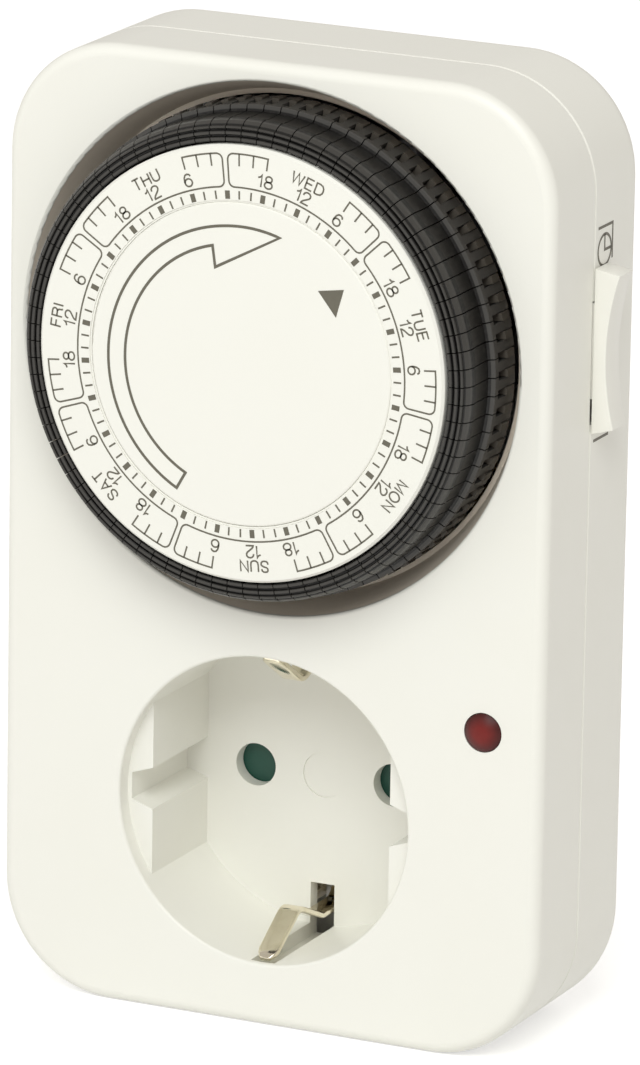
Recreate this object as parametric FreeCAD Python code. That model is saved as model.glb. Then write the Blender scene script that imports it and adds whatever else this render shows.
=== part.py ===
import FreeCAD, Part
import math
import os

# Plug-in weekly timer switch: a two-part housing with a mains plug on the back, an earthed
# socket low on the front, a rotating seven-day dial with push tappets above it, a child
# shutter, a manual switch on the right side and a small neon lamp.
#
# Frame, in millimetres: the origin is the middle of the plug's end face, on the axis that the
# plug and the socket share. +X is to the right and +Z is up as the user sees the front, and +Y
# points back into the wall. Depths are counted from the housing's front face towards the wall.

# Driving sizes: housing
housing_width = 73.2
housing_height = 121.8
housing_depth = 26.4
housing_corner_radius = 14.5
front_edge_radius = 1.5
back_edge_radius = 3.0
wall = 2.0
seam_depth = 12.2
seam_chamfer = 0.25
axis_offset = 0.75
socket_below_middle = 33.2
dial_above_middle = 25.3

# Driving sizes: plug
plug_length = 17.8
plug_radius = 18.9
plug_flat = 15.9
plug_face_wall = 2.5
plug_wall = 3.0
plug_rib_width = 4.6
plug_rib_top_width = 2.9
plug_rib_reach = 18.5
pin_spacing = 19.0
pin_radius = 2.4
pin_length = 19.0
pin_tip_radius = 1.6
pin_seat_radius = 2.9
pin_seat_clearance = 0.03
pin_collar_clearance = 0.05
pin_collar_thickness = 1.0
pin_tail_radius = 1.8
pin_tail_length = 1.6
earth_groove_width = 5.0
earth_groove_floor = 16.6

# Driving sizes: socket
recess_radius = 19.65
recess_depth = 17.9
recess_wall = 1.7
recess_floor = 2.0
recess_lip_radius = 0.4
side_flat = 16.2
side_flat_start = 2.4
key_mouth_width = 5.4
key_floor_width = 3.4
key_floor_reach = 19.1
pin_hole_radius = 2.75
centre_mark_radius = 2.95
centre_mark_depth = 0.25
earth_slot_width = 3.3
earth_slot_inner = 14.2
earth_slot_outer = 21.4
earth_slot_front = 0.9

# Driving sizes: socket shutter, its cover and the contacts
shutter_gap = 0.2
shutter_thickness = 1.8
shutter_reach = 14.0
shutter_half_angle = 20.0
shutter_pivot_radius = 1.6
spring_peg_radius = 1.0
spring_peg_z = 11.2
spring_wire = 0.25
spring_coil_radius = 1.6
cover_gap = 0.3
cover_thickness = 1.2
cover_radius = 17.5
cover_rim = 1.2
cover_hole_radius = 3.0
sleeve_gap = 0.2
sleeve_wall = 0.7
sleeve_slot = 1.2
sleeve_length = 13.1
contact_strip = 0.6
contact_strip_width = 4.0
earth_strip = 0.7
earth_strip_width = 2.8

# Driving sizes: dial
opening_radius = 33.2
collar_wall = 1.4
collar_depth = 5.5
dial_proud = 8.1
scale_radius = 27.05
scale_thickness = 1.6
centre_disc_radius = 20.05
dial_split_gap = 0.25
drum_radius = 26.9
drum_wall = 1.5
wheel_radius = 32.3
wheel_front = 2.0
wheel_thickness = 2.0
tappet_count = 84
tappets_per_day = 12
tappet_travel = 2.0
tappet_side_gap = 0.14
tappet_leg_inner = 29.7
tappet_leg_outer = 31.1
tappet_leg_width = 1.15
tappet_leg_end = 4.6
leg_slot_clearance = 0.12
post_radius = 4.0
post_front = -4.2
running_clearance = 0.06
hub_radius = 6.6
hub_front = -3.9
post_flange_radius = 5.0
post_flange_thickness = 1.5
square_key = 3.6
square_key_length = 2.0

# Driving sizes: gear train
gear_module = 0.8
dial_teeth = 36
dial_gear_width = 2.5
small_pinion_teeth = 9
large_gear_teeth = 30
large_gear_front = 7.1
large_gear_width = 1.6
motor_pinion_teeth = 10
motor_pinion_width = 2.4
gear_backlash = 0.12
gear_line_angle = 200.0
motor_line_angle = -30.0
gear_shaft_radius = 1.0
gear_shaft_front = 4.5

# Driving sizes: movement plate and motor
plate_front = 10.5
plate_thickness = 1.5
motor_radius = 17.0
motor_length = 11.4
can_wall = 0.7
motor_shaft_radius = 1.25
support_radius = 2.5

# Driving sizes: screws
screw_inset = 7.5
screw_shank_radius = 1.2
screw_head_radius = 2.8
screw_head_height = 2.0
screw_boss_radius = 3.6
screw_seat_depth = 18.4
screw_tip_depth = 5.0
pilot_clearance = 0.05

# Driving sizes: lamp
lamp_x = 29.5
lamp_z = 14.4
lamp_radius = 2.4
lamp_dome = 0.9
lamp_flange_radius = 3.4

# Driving sizes: side switch
slider_top = 70.6
slider_height = 20.6
slider_thickness = 4.0
slider_top_reach = 3.4
slider_waist_reach = 1.8
slider_bottom_reach = 3.0
slider_travel = 3.0
slider_neck_height = 12.0
slider_clearance = 0.15

# Driving sizes: time switch contacts
lever_pivot_z = 64.5
lever_pivot_depth = 9.5
lever_pin_radius = 0.8
lever_hub_radius = 1.7
nose_angle = 39.0
nose_gap = 0.3
blade_pivot_z = 67.6
blade_depth = 11.4
blade_thickness = 0.4

load_strap_right = 31.2

# Worked-out places
front_y = -(plug_length + housing_depth)
back_y = -plug_length
middle_x = axis_offset
middle_z = socket_below_middle
dial_z = middle_z + dial_above_middle
bottom_z = middle_z - housing_height / 2
top_z = middle_z + housing_height / 2
left_x = middle_x - housing_width / 2
right_x = middle_x + housing_width / 2
pitch_angle = 360.0 / tappet_count
inner_back_depth = housing_depth - wall
plug_end_depth = housing_depth + plug_length
plug_face_depth = plug_end_depth - plug_face_wall
pin_collar_radius = plug_flat - plug_wall - pin_spacing / 2 - pin_collar_clearance
cup_back_depth = recess_depth + recess_floor
shutter_front_depth = cup_back_depth + shutter_gap
cover_front_depth = shutter_front_depth + shutter_thickness + cover_gap
cover_back_depth = cover_front_depth + cover_thickness
sleeve_front_depth = cover_back_depth + sleeve_gap
gear_distance = gear_module * (dial_teeth + small_pinion_teeth) / 2
motor_distance = gear_module * (large_gear_teeth + motor_pinion_teeth) / 2
gear_x = gear_distance * math.cos(math.radians(gear_line_angle))
gear_z = dial_z + gear_distance * math.sin(math.radians(gear_line_angle))
motor_x = gear_x + motor_distance * math.cos(math.radians(motor_line_angle))
motor_z = gear_z + motor_distance * math.sin(math.radians(motor_line_angle))
plate_back = plate_front + plate_thickness
motor_front = plate_back
leg_mid_radius = (tappet_leg_inner + tappet_leg_outer) / 2
nose_x = leg_mid_radius * math.cos(math.radians(nose_angle))
nose_z = dial_z + leg_mid_radius * math.sin(math.radians(nose_angle))

V = FreeCAD.Vector
BACKWARD = V(0, 1, 0)
day_names = ("monday", "tuesday", "wednesday", "thursday", "friday", "saturday", "sunday")


def at(x, depth, z):
    """Point at a depth behind the front face."""
    return V(x, front_y + depth, z)


def box(x0, x1, d0, d1, z0, z1):
    """Block between two depths."""
    return Part.makeBox(x1 - x0, d1 - d0, z1 - z0, at(x0, d0, z0))


def rod(radius, x, z, d0, d1):
    """Round bar along the depth."""
    return Part.makeCylinder(radius, d1 - d0, at(x, d0, z), BACKWARD)


def tube(inner, outer, x, z, d0, d1):
    """Round sleeve along the depth."""
    return rod(outer, x, z, d0, d1).cut(rod(inner, x, z, d0, d1))


def cross_rod(radius, x0, x1, depth, z):
    """Round bar along X."""
    return Part.makeCylinder(radius, x1 - x0, at(x0, depth, z), V(1, 0, 0))


def join(*shapes):
    """One solid from touching shapes, with flush faces merged."""
    whole = shapes[0].fuse(list(shapes[1:]))
    return whole.removeSplitter()


def rounded_outline(width, height, radius, x, depth, z):
    """Wire of a rectangle with round corners, facing the user."""
    half_w = width / 2 - radius
    half_h = height / 2 - radius
    edges = []
    for quarter in range(4):
        start = math.radians(90 * quarter)
        sx = (1, -1, -1, 1)[quarter]
        sz = (1, 1, -1, -1)[quarter]
        cx = x + sx * half_w
        cz = z + sz * half_h

        def on_arc(angle):
            return at(cx + radius * math.cos(angle), depth, cz + radius * math.sin(angle))

        arc = Part.Arc(on_arc(start), on_arc(start + math.pi / 4), on_arc(start + math.pi / 2))
        edges.append(arc.toShape())
    sides = []
    for index, edge in enumerate(edges):
        following = edges[(index + 1) % 4]
        sides.append(edge)
        sides.append(Part.makeLine(edge.lastVertex().Point, following.firstVertex().Point))
    return Part.Wire(Part.__sortEdges__(sides))


def rounded_block(width, height, radius, x, z, d0, d1):
    """Block with round corners between two depths."""
    face = Part.Face(rounded_outline(width, height, radius, x, d0, z))
    return face.extrude(V(0, d1 - d0, 0))


def flat_plate(points, d0, d1):
    """Plate whose outline is given as (x, z) corners."""
    corners = [at(x, d0, z) for x, z in points]
    face = Part.Face(Part.makePolygon(corners + corners[:1]))
    return face.extrude(V(0, d1 - d0, 0))


def spun(profile, x, z, angle=360.0, start=0.0):
    """Solid of revolution about the depth axis through (x, z), from (radius, depth) corners."""
    corners = [at(x + radius, depth, z) for radius, depth in profile]
    face = Part.Face(Part.makePolygon(corners + corners[:1]))
    solid = face.revolve(at(x, 0, z), V(0, -1, 0), angle)
    solid.rotate(at(x, 0, z), V(0, -1, 0), start)
    return solid


def turned(shape, x, z, angle):
    """Copy of a shape, turned anticlockwise as the user sees it."""
    copy = shape.copy()
    copy.rotate(at(x, 0, z), V(0, -1, 0), angle)
    return copy


def edges_at_depth(shape, depth):
    """Edges of a shape that lie wholly at one depth."""
    level = front_y + depth
    chosen = []
    for edge in shape.Edges:
        if all(abs(vertex.Point.y - level) < 1e-4 for vertex in edge.Vertexes):
            if abs(edge.BoundBox.YMin - level) < 1e-3 and abs(edge.BoundBox.YMax - level) < 1e-3:
                chosen.append(edge)
    return chosen


def folded_strip(points, thickness, x0, x1, bend):
    """Sheet-metal strip that follows (depth, z) points with round bends, as wide as x0 to x1."""
    corners = [at(x0, depth, z) for depth, z in points]
    edges = []
    last = corners[0]
    for before, corner, after in zip(corners, corners[1:], corners[2:]):
        into = (corner - before).normalize()
        out = (after - corner).normalize()
        turn = math.acos(max(-1.0, min(1.0, into.dot(out))))
        setback = min(bend * math.tan(turn / 2), (corner - last).Length * 0.49,
                      (after - corner).Length * 0.49)
        radius = setback / math.tan(turn / 2)
        first = corner - into * setback
        final = corner + out * setback
        bisector = (out - into).normalize()
        centre = corner + bisector * (radius / math.cos(turn / 2))
        middle = centre - bisector * radius
        edges.append(Part.makeLine(last, first))
        edges.append(Part.Arc(first, middle, final).toShape())
        last = final
    edges.append(Part.makeLine(last, corners[-1]))
    spine = Part.Wire(edges)
    face = spine.makeOffset2D(thickness, 0, True, True)
    return face.extrude(V(x1 - x0, 0, 0))


def gear_outline(teeth, thinning, phase):
    """Corners (x, z) of an involute gear about its own centre, with a tooth at the phase."""
    pitch = gear_module * teeth / 2
    base = pitch * math.cos(math.radians(20))
    tip = pitch + 0.9 * gear_module
    root = pitch - 1.15 * gear_module
    pressure = math.radians(20)
    half_pitch_tooth = math.pi / (2 * teeth) - thinning / (2 * pitch)

    def half_angle(radius):
        local = math.acos(min(1.0, base / radius))
        return half_pitch_tooth + (math.tan(pressure) - pressure) - (math.tan(local) - local)

    start = max(base, root)
    radii = [start + (tip - start) * share for share in (0.0, 0.5, 1.0)]
    corners = []
    for tooth in range(teeth):
        centre = math.radians(phase) + 2 * math.pi * tooth / teeth
        flank = [(radius, half_angle(radius)) for radius in radii]
        if root < start:
            flank.insert(0, (root, half_angle(start)))
        for radius, half in flank:
            corners.append((radius * math.cos(centre - half), radius * math.sin(centre - half)))
        for radius, half in reversed(flank):
            corners.append((radius * math.cos(centre + half), radius * math.sin(centre + half)))
    return corners


def gear(teeth, x, z, d0, d1, phase):
    """Spur gear between two depths."""
    outline = gear_outline(teeth, gear_backlash / 2, phase)
    return flat_plate([(x + dx, z + dz) for dx, dz in outline], d0, d1)


def screw_places():
    """Centres (x, z) of the four housing screws."""
    reach_x = housing_width / 2 - screw_inset
    reach_z = housing_height / 2 - screw_inset
    return [(middle_x + sx * reach_x, middle_z + sz * reach_z) for sx in (-1, 1) for sz in (-1, 1)]


def support_places():
    """Centres (x, z) of the posts that carry the movement plate."""
    return [(-26.0, 34.0), (-25.5, 81.0), (12.5, 82.0), (12.6, 30.6)]


def key_channel(mouth, floor, near, far, side, d0, d1):
    """Tapered key shape beside the axis, on one side, between two depths."""
    points = [(side * near, -mouth / 2), (side * near, mouth / 2),
              (side * far, floor / 2), (side * far, -floor / 2)]
    return flat_plate(points, d0, d1)


def make_front_housing():
    outer = rounded_block(housing_width, housing_height, housing_corner_radius,
                          middle_x, middle_z, 0, seam_depth)
    outer = outer.makeFillet(front_edge_radius, edges_at_depth(outer, 0))
    outer = outer.makeChamfer(seam_chamfer, edges_at_depth(outer, seam_depth))
    hollow = rounded_block(housing_width - 2 * wall, housing_height - 2 * wall,
                           housing_corner_radius - wall, middle_x, middle_z, wall, seam_depth)
    shell = outer.cut(hollow)
    collar = rod(opening_radius + collar_wall, 0, dial_z, wall, collar_depth)
    collar = collar.common(rounded_block(housing_width - wall, housing_height - wall,
                                         housing_corner_radius - wall / 2, middle_x, middle_z,
                                         wall, collar_depth))
    cup = rod(recess_radius + recess_wall, 0, 0, wall, cup_back_depth)
    parts = [collar, cup]
    for side in (-1, 1):
        pad_half = earth_slot_width / 2 + recess_wall
        low, high = sorted((side * (earth_slot_inner + 4), side * (earth_slot_outer + recess_wall)))
        parts.append(box(-pad_half, pad_half, wall, cup_back_depth, low, high))
    for x, z in screw_places():
        parts.append(rod(screw_boss_radius - 0.3, x, z, wall, seam_depth))
    parts.append(rod(lamp_flange_radius + 1.2, lamp_x, lamp_z, wall, 6.0))
    parts.append(rod(shutter_pivot_radius, 0, 0, cup_back_depth, cover_back_depth))
    parts.append(rod(spring_peg_radius, 0, spring_peg_z, cup_back_depth, cover_front_depth))
    body = join(shell, *parts)
    body = body.cut(rod(opening_radius, 0, dial_z, -1, collar_depth + 1))
    recess = rod(recess_radius, 0, 0, -1, recess_depth)
    for side in (-1, 1):
        low, high = sorted((side * side_flat, side * (recess_radius + 1)))
        keep = box(low, high, side_flat_start, recess_depth, -recess_radius, recess_radius)
        key = key_channel(key_mouth_width, key_floor_width, side_flat - 0.01, key_floor_reach,
                          side, side_flat_start - 0.1, recess_depth)
        recess = recess.cut(keep.cut(key))
    body = body.cut(recess)
    lip = [edge for edge in edges_at_depth(body, 0)
           if abs(edge.BoundBox.ZMax - recess_radius) < 0.01
           or abs(edge.BoundBox.ZMax - dial_z - opening_radius) < 0.01]
    body = body.makeFillet(recess_lip_radius, lip)
    cuts = [rod(centre_mark_radius, 0, 0, recess_depth - 1, recess_depth + centre_mark_depth)]
    for side in (-1, 1):
        cuts.append(rod(pin_hole_radius, side * pin_spacing / 2, 0, recess_depth - 1,
                        cup_back_depth + 1))
        low, high = sorted((side * earth_slot_inner, side * earth_slot_outer))
        cuts.append(box(-earth_slot_width / 2, earth_slot_width / 2, earth_slot_front,
                        cup_back_depth + 1, low, high))
    for x, z in screw_places():
        cuts.append(rod(screw_shank_radius + pilot_clearance, x, z, screw_tip_depth - 1,
                        seam_depth + 1))
    cuts.append(rod(lamp_radius + 0.1, lamp_x, lamp_z, -1, wall + 1))
    cuts.append(rod(lamp_flange_radius + 0.1, lamp_x, lamp_z, wall, 7))
    return body.cut(cuts)


def plug_section(radius, flat, depth0, depth1):
    """Round plug body with two flat sides."""
    return rod(radius, 0, 0, depth0, depth1).common(
        box(-flat, flat, depth0, depth1, -radius, radius))


def make_back_housing():
    end_depth = housing_depth + plug_length
    outer = rounded_block(housing_width, housing_height, housing_corner_radius,
                          middle_x, middle_z, seam_depth, housing_depth)
    outer = outer.makeFillet(back_edge_radius, edges_at_depth(outer, housing_depth))
    outer = outer.makeChamfer(seam_chamfer, edges_at_depth(outer, seam_depth))
    hollow = rounded_block(housing_width - 2 * wall, housing_height - 2 * wall,
                           housing_corner_radius - wall, middle_x, middle_z,
                           seam_depth, inner_back_depth)
    shell = outer.cut(hollow)
    plug = plug_section(plug_radius, plug_flat, inner_back_depth, end_depth)
    for side in (-1, 1):
        plug = plug.fuse(key_channel(plug_rib_width, plug_rib_top_width, plug_flat - 0.5,
                                     plug_rib_reach, side, housing_depth - 0.5, end_depth))
    plug = plug.removeSplitter()
    plug = plug.makeChamfer(0.6, edges_at_depth(plug, end_depth))
    parts = [plug]
    for x, z in screw_places():
        parts.append(rod(screw_boss_radius, x, z, seam_depth, inner_back_depth))
    for x, z in support_places():
        parts.append(rod(support_radius, x, z, plate_back, inner_back_depth))
    body = join(shell, *parts)
    cavity = plug_section(plug_radius - plug_wall, plug_flat - plug_wall, inner_back_depth - 1,
                          end_depth - plug_face_wall)
    cuts = [cavity]
    for side in (-1, 1):
        low, high = sorted((side * earth_groove_floor, side * (plug_radius + 1)))
        cuts.append(box(-earth_groove_width / 2, earth_groove_width / 2, inner_back_depth - 1,
                        end_depth - 1.2, low, high))
        cuts.append(rod(pin_seat_radius + pin_seat_clearance, side * pin_spacing / 2, 0,
                        end_depth - plug_face_wall - 1, end_depth + 1))
    for x, z in screw_places():
        cuts.append(rod(screw_shank_radius + 0.3, x, z, seam_depth - 1, housing_depth + 1))
        cuts.append(rod(screw_head_radius + 0.3, x, z, screw_seat_depth, housing_depth + 1))
    for x, z in support_places():
        cuts.append(rod(screw_shank_radius - 0.3, x, z, plate_back - 1, plate_back + 7))
    slot_low = slider_top - slider_height / 2 - slider_neck_height / 2 - slider_travel - 0.2
    slot_high = slider_top - slider_height / 2 + slider_neck_height / 2 + 0.2
    cuts.append(box(right_x - wall - 1, right_x + 1, seam_depth - 1,
                    seam_depth + slider_thickness - 0.4, slot_low, slot_high))
    return body.cut(cuts)


def make_pin(side):
    x = side * pin_spacing / 2
    end = housing_depth + plug_length
    face = end - plug_face_wall
    pin = rod(pin_radius, x, 0, end, end + pin_length)
    pin = pin.makeFillet(pin_tip_radius, edges_at_depth(pin, end + pin_length))
    seat = rod(pin_seat_radius, x, 0, face, end)
    collar = rod(pin_collar_radius, x, 0, face - pin_collar_thickness, face)
    tail = rod(pin_tail_radius, x, 0, face - pin_collar_thickness - pin_tail_length, face)
    return join(pin, seat, collar, tail)


def make_movement_plate():
    plate = rounded_block(46.0, 58.5, 4.0, -6.0, 56.75, plate_front, plate_back)
    cuts = [rod(2.0, 0, dial_z, plate_front - 1, plate_back + 1),
            rod(gear_shaft_radius, gear_x, gear_z, plate_front - 1, plate_back + 1),
            rod(motor_shaft_radius + 0.6, motor_x, motor_z, plate_front - 1, plate_back + 1)]
    for x, z in support_places():
        cuts.append(rod(screw_shank_radius - 0.3, x, z, plate_front - 1, plate_back + 1))
    for x, z in screw_places():
        cuts.append(rod(screw_boss_radius + 0.3, x, z, plate_front - 1, plate_back + 1))
    return plate.cut(cuts)


def make_dial_post():
    shaft = rod(post_radius, 0, dial_z, post_front, plate_front)
    flange = rod(post_flange_radius, 0, dial_z, plate_front - post_flange_thickness, plate_front)
    rivet = rod(2.0, 0, dial_z, plate_front, plate_back)
    half = square_key / 2
    key = box(-half, half, post_front - square_key_length, post_front, dial_z - half, dial_z + half)
    return join(shaft, flange, rivet, key)


def make_centre_disc():
    face_back = -dial_proud + scale_thickness
    disc = rod(centre_disc_radius, 0, dial_z, -dial_proud, face_back)
    disc = disc.makeFillet(0.3, edges_at_depth(disc, -dial_proud))
    stem = rod(post_radius + 1.5, 0, dial_z, face_back, post_front)
    half = square_key / 2 + 0.03
    socket = box(-half, half, post_front - square_key_length - 0.1, post_front + 1,
                 dial_z - half, dial_z + half)
    return join(disc, stem).cut(socket)


def make_scale_ring():
    face_back = -dial_proud + scale_thickness
    inner = centre_disc_radius + dial_split_gap
    skirt_outer = drum_radius - drum_wall - 0.05
    profile = [(inner, -dial_proud), (scale_radius - 0.3, -dial_proud),
               (scale_radius, -dial_proud + 0.3), (scale_radius, face_back),
               (skirt_outer, face_back), (skirt_outer, face_back + 2.0),
               (skirt_outer - 0.8, face_back + 2.0), (skirt_outer - 0.8, face_back),
               (inner, face_back)]
    return spun(profile, 0, dial_z)


def make_dial_wheel():
    face_back = -dial_proud + scale_thickness
    back = wheel_front + wheel_thickness
    plate = rod(wheel_radius, 0, dial_z, wheel_front, back)
    drum = tube(drum_radius - drum_wall, drum_radius, 0, dial_z, face_back, wheel_front)
    hub = rod(hub_radius, 0, dial_z, hub_front, back)
    ring_gear = gear(dial_teeth, 0, dial_z, back, back + dial_gear_width, gear_line_angle)
    wheel = join(plate, drum, hub, ring_gear)
    slots = []
    half = tappet_leg_width / 2 + leg_slot_clearance
    slot = box(tappet_leg_inner - leg_slot_clearance, wheel_radius + 1, wheel_front - 1, back + 1,
               dial_z - half, dial_z + half)
    for index in range(tappet_count):
        slots.append(turned(slot, 0, dial_z, (index + 0.5) * pitch_angle))
    slots.append(rod(post_radius + running_clearance, 0, dial_z, hub_front - 1,
                     back + dial_gear_width + 1))
    return wheel.cut(slots)


def tappet_profile():
    """Corners (radius, depth) of a tappet head: three grip ridges, a shoulder, a neck, a ledge."""
    corners = [(27.3, -7.9), (27.7, -8.1), (27.85, -7.6), (28.25, -7.5), (28.4, -7.0),
               (28.8, -6.9), (28.95, -6.4), (29.35, -6.2), (29.75, -5.3), (30.3, -2.1),
               (31.45, -1.95), (31.65, -1.7), (31.65, -0.2), (28.9, -0.2), (28.4, -5.0),
               (27.3, -6.2)]
    return corners


def make_tappets(day):
    gap_angle = math.degrees(tappet_side_gap / leg_mid_radius)
    head = spun(tappet_profile(), 0, dial_z, pitch_angle - gap_angle,
                -(pitch_angle - gap_angle) / 2)
    leg = box(tappet_leg_inner, tappet_leg_outer, -0.2, tappet_leg_end,
              dial_z - tappet_leg_width / 2, dial_z + tappet_leg_width / 2)
    tappet = head.fuse(leg)
    group = []
    for index in range(tappets_per_day):
        place = (day * tappets_per_day + index + 0.5) * pitch_angle
        group.append(turned(tappet, 0, dial_z, place))
    return Part.makeCompound(group)


def make_reduction_gear():
    pinion_front = wheel_front + wheel_thickness + 0.2
    pinion_phase = gear_line_angle + 180 + 180.0 / small_pinion_teeth
    pinion = gear(small_pinion_teeth, gear_x, gear_z, pinion_front, large_gear_front, pinion_phase)
    large = gear(large_gear_teeth, gear_x, gear_z, large_gear_front,
                 large_gear_front + large_gear_width, motor_line_angle)
    hub = rod(2.4, gear_x, gear_z, large_gear_front, plate_front - 0.2)
    bore = rod(gear_shaft_radius + running_clearance, gear_x, gear_z, 0, plate_front)
    return join(pinion, large, hub).cut(bore)


def make_gear_shaft():
    return rod(gear_shaft_radius, gear_x, gear_z, gear_shaft_front, plate_back)


def make_motor_pinion():
    front = large_gear_front - 0.2
    phase = motor_line_angle + 180 + 180.0 / motor_pinion_teeth
    pinion = gear(motor_pinion_teeth, motor_x, motor_z, front, front + motor_pinion_width, phase)
    shaft = rod(motor_shaft_radius, motor_x, motor_z, front + motor_pinion_width, motor_front + 3.0)
    return join(pinion, shaft)


def make_motor_can():
    outer = rod(motor_radius, motor_x, motor_z, motor_front + can_wall, motor_front + motor_length)
    outer = outer.makeFillet(1.2, edges_at_depth(outer, motor_front + motor_length))
    hollow = rod(motor_radius - can_wall, motor_x, motor_z, motor_front,
                 motor_front + motor_length - can_wall)
    return outer.cut(hollow)


def make_motor_cover():
    cover = rod(motor_radius, motor_x, motor_z, motor_front, motor_front + can_wall)
    boss = rod(3.0, motor_x, motor_z, motor_front, motor_front + 2.4)
    bore = rod(motor_shaft_radius + running_clearance, motor_x, motor_z, 0, motor_front + 5)
    return join(cover, boss).cut(bore)


def make_motor_coil():
    return tube(10.2, motor_radius - can_wall - 0.5, motor_x, motor_z, motor_front + 1.2,
                motor_front + motor_length - can_wall - 0.5)


def make_motor_rotor():
    back = motor_front + motor_length - can_wall
    magnet = tube(3.5, 9.4, motor_x, motor_z, motor_front + 4.2, back - 1.0)
    web = rod(3.6, motor_x, motor_z, motor_front + 4.2, back - 1.0)
    pivot = rod(0.8, motor_x, motor_z, motor_front + 3.2, back)
    return join(magnet, web, pivot)


def housing_screw(x, z):
    head = rod(screw_head_radius, x, z, screw_seat_depth, screw_seat_depth + screw_head_height)
    shank = rod(screw_shank_radius, x, z, screw_tip_depth, screw_seat_depth)
    slot = box(x - 0.4, x + 0.4, screw_seat_depth + 1.0, screw_seat_depth + 3, z - 1.7, z + 1.7)
    cross = box(x - 1.7, x + 1.7, screw_seat_depth + 1.0, screw_seat_depth + 3, z - 0.4, z + 0.4)
    return join(head, shank).cut([slot, cross])


def movement_screw(x, z):
    head = rod(2.0, x, z, plate_front - 1.1, plate_front)
    shank = rod(screw_shank_radius - 0.35, x, z, plate_front, plate_back + 5)
    return join(head, shank)


def make_lamp_lens():
    barrel = rod(lamp_radius, lamp_x, lamp_z, 0, wall)
    sphere_radius = (lamp_radius ** 2 + lamp_dome ** 2) / (2 * lamp_dome)
    dome = Part.makeSphere(sphere_radius, at(lamp_x, sphere_radius - lamp_dome, lamp_z))
    dome = dome.common(rod(lamp_radius, lamp_x, lamp_z, -lamp_dome - 1, 0))
    flange = rod(lamp_flange_radius, lamp_x, lamp_z, wall, wall + 1.0)
    return join(barrel, dome, flange)


def make_neon_bulb():
    body = rod(2.2, lamp_x, lamp_z, wall + 1.3, wall + 7.0)
    return body.makeFillet(1.8, edges_at_depth(body, wall + 1.3))


def make_side_switch():
    low = slider_top - slider_height
    waist = slider_top - slider_height / 2
    back = seam_depth + slider_thickness

    def corner(reach, z):
        return at(right_x + reach, seam_depth, z)

    base_reach = 0.12
    outline = [
        Part.makeLine(corner(base_reach, low), corner(slider_bottom_reach, low + 0.8)),
        Part.Arc(corner(slider_bottom_reach, low + 0.8), corner(slider_waist_reach, waist),
                 corner(slider_top_reach, slider_top - 0.6)).toShape(),
        Part.makeLine(corner(slider_top_reach, slider_top - 0.6), corner(base_reach, slider_top)),
        Part.makeLine(corner(base_reach, slider_top), corner(base_reach, low))]
    knob = Part.Face(Part.Wire(outline)).extrude(V(0, slider_thickness, 0))
    front = seam_depth + slider_clearance
    neck = box(right_x - wall - 0.3, right_x + 0.5, front, back - 0.4 - slider_clearance,
               waist - slider_neck_height / 2, waist + slider_neck_height / 2)
    carriage = box(right_x - wall - 1.6, right_x - wall - 0.2, front, back,
                   waist - slider_neck_height / 2 - 2, waist + slider_neck_height / 2 + 2)
    finger_root = box(right_x - wall - 1.6, right_x - wall - 0.2, 6.9, front + 0.5,
                      waist + slider_neck_height / 2 - 2, waist + slider_neck_height / 2 + 2)
    finger = box(29.2, right_x - wall - 0.2, 6.9, 8.2, 73.4, 75.8)
    riser = box(right_x - wall - 1.6, right_x - wall - 0.2, 6.9, 8.2,
                waist + slider_neck_height / 2 - 2, 75.8)
    return join(knob, neck, carriage, finger_root, riser, finger)


def make_trip_lever():
    hub = cross_rod(lever_hub_radius, 21.6, 26.2, lever_pivot_depth, lever_pivot_z)
    arm_side = [(lever_pivot_depth - 0.9, lever_pivot_z), (lever_pivot_depth - 0.9, nose_z + 1.6),
                (lever_pivot_depth + 0.7, nose_z + 1.6), (lever_pivot_depth + 0.7, lever_pivot_z)]
    corners = [at(22.2, depth, z) for depth, z in arm_side]
    arm = Part.Face(Part.makePolygon(corners + corners[:1])).extrude(V(3.2, 0, 0))
    nose_front = tappet_leg_end + tappet_travel + nose_gap
    ramp = [(nose_front, nose_z - 0.7), (nose_front, nose_z + 0.7),
            (lever_pivot_depth - 0.9, nose_z + 1.6), (lever_pivot_depth - 0.9, nose_z - 1.6)]
    corners = [at(22.2, depth, z) for depth, z in ramp]
    nose = Part.Face(Part.makePolygon(corners + corners[:1])).extrude(V(3.2, 0, 0))
    pusher = box(22.8, 24.8, lever_pivot_depth, 11.0, 74.2, 75.8)
    side_arm = box(25.0, 30.6, lever_pivot_depth - 0.9, lever_pivot_depth + 0.7, 69.8, 72.0)
    bore = cross_rod(lever_pin_radius + running_clearance, 20, 28, lever_pivot_depth,
                     lever_pivot_z)
    return join(hub, arm, nose, pusher, side_arm).cut(bore)


def make_lever_pin():
    return cross_rod(lever_pin_radius, 19.8, 28.0, lever_pivot_depth, lever_pivot_z)


def make_switch_base():
    block = box(20.2, 27.6, 12.0, inner_back_depth, 55.0, 66.6)
    left_ear = box(20.2, 21.4, 7.6, 12.0, 62.6, 66.4)
    right_ear = box(26.4, 27.6, 7.6, 12.0, 62.6, 66.4)
    pin_hole = cross_rod(lever_pin_radius + 0.02, 19, 29, lever_pivot_depth, lever_pivot_z)
    return join(block, left_ear, right_ear).cut(pin_hole)


def make_moving_contact():
    blade = box(22.0, 25.6, blade_depth, blade_depth + blade_thickness, blade_pivot_z, 81.0)
    button = rod(1.4, 23.8, 79.2, blade_depth + blade_thickness, blade_depth + 1.2)
    return join(blade, button)


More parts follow.
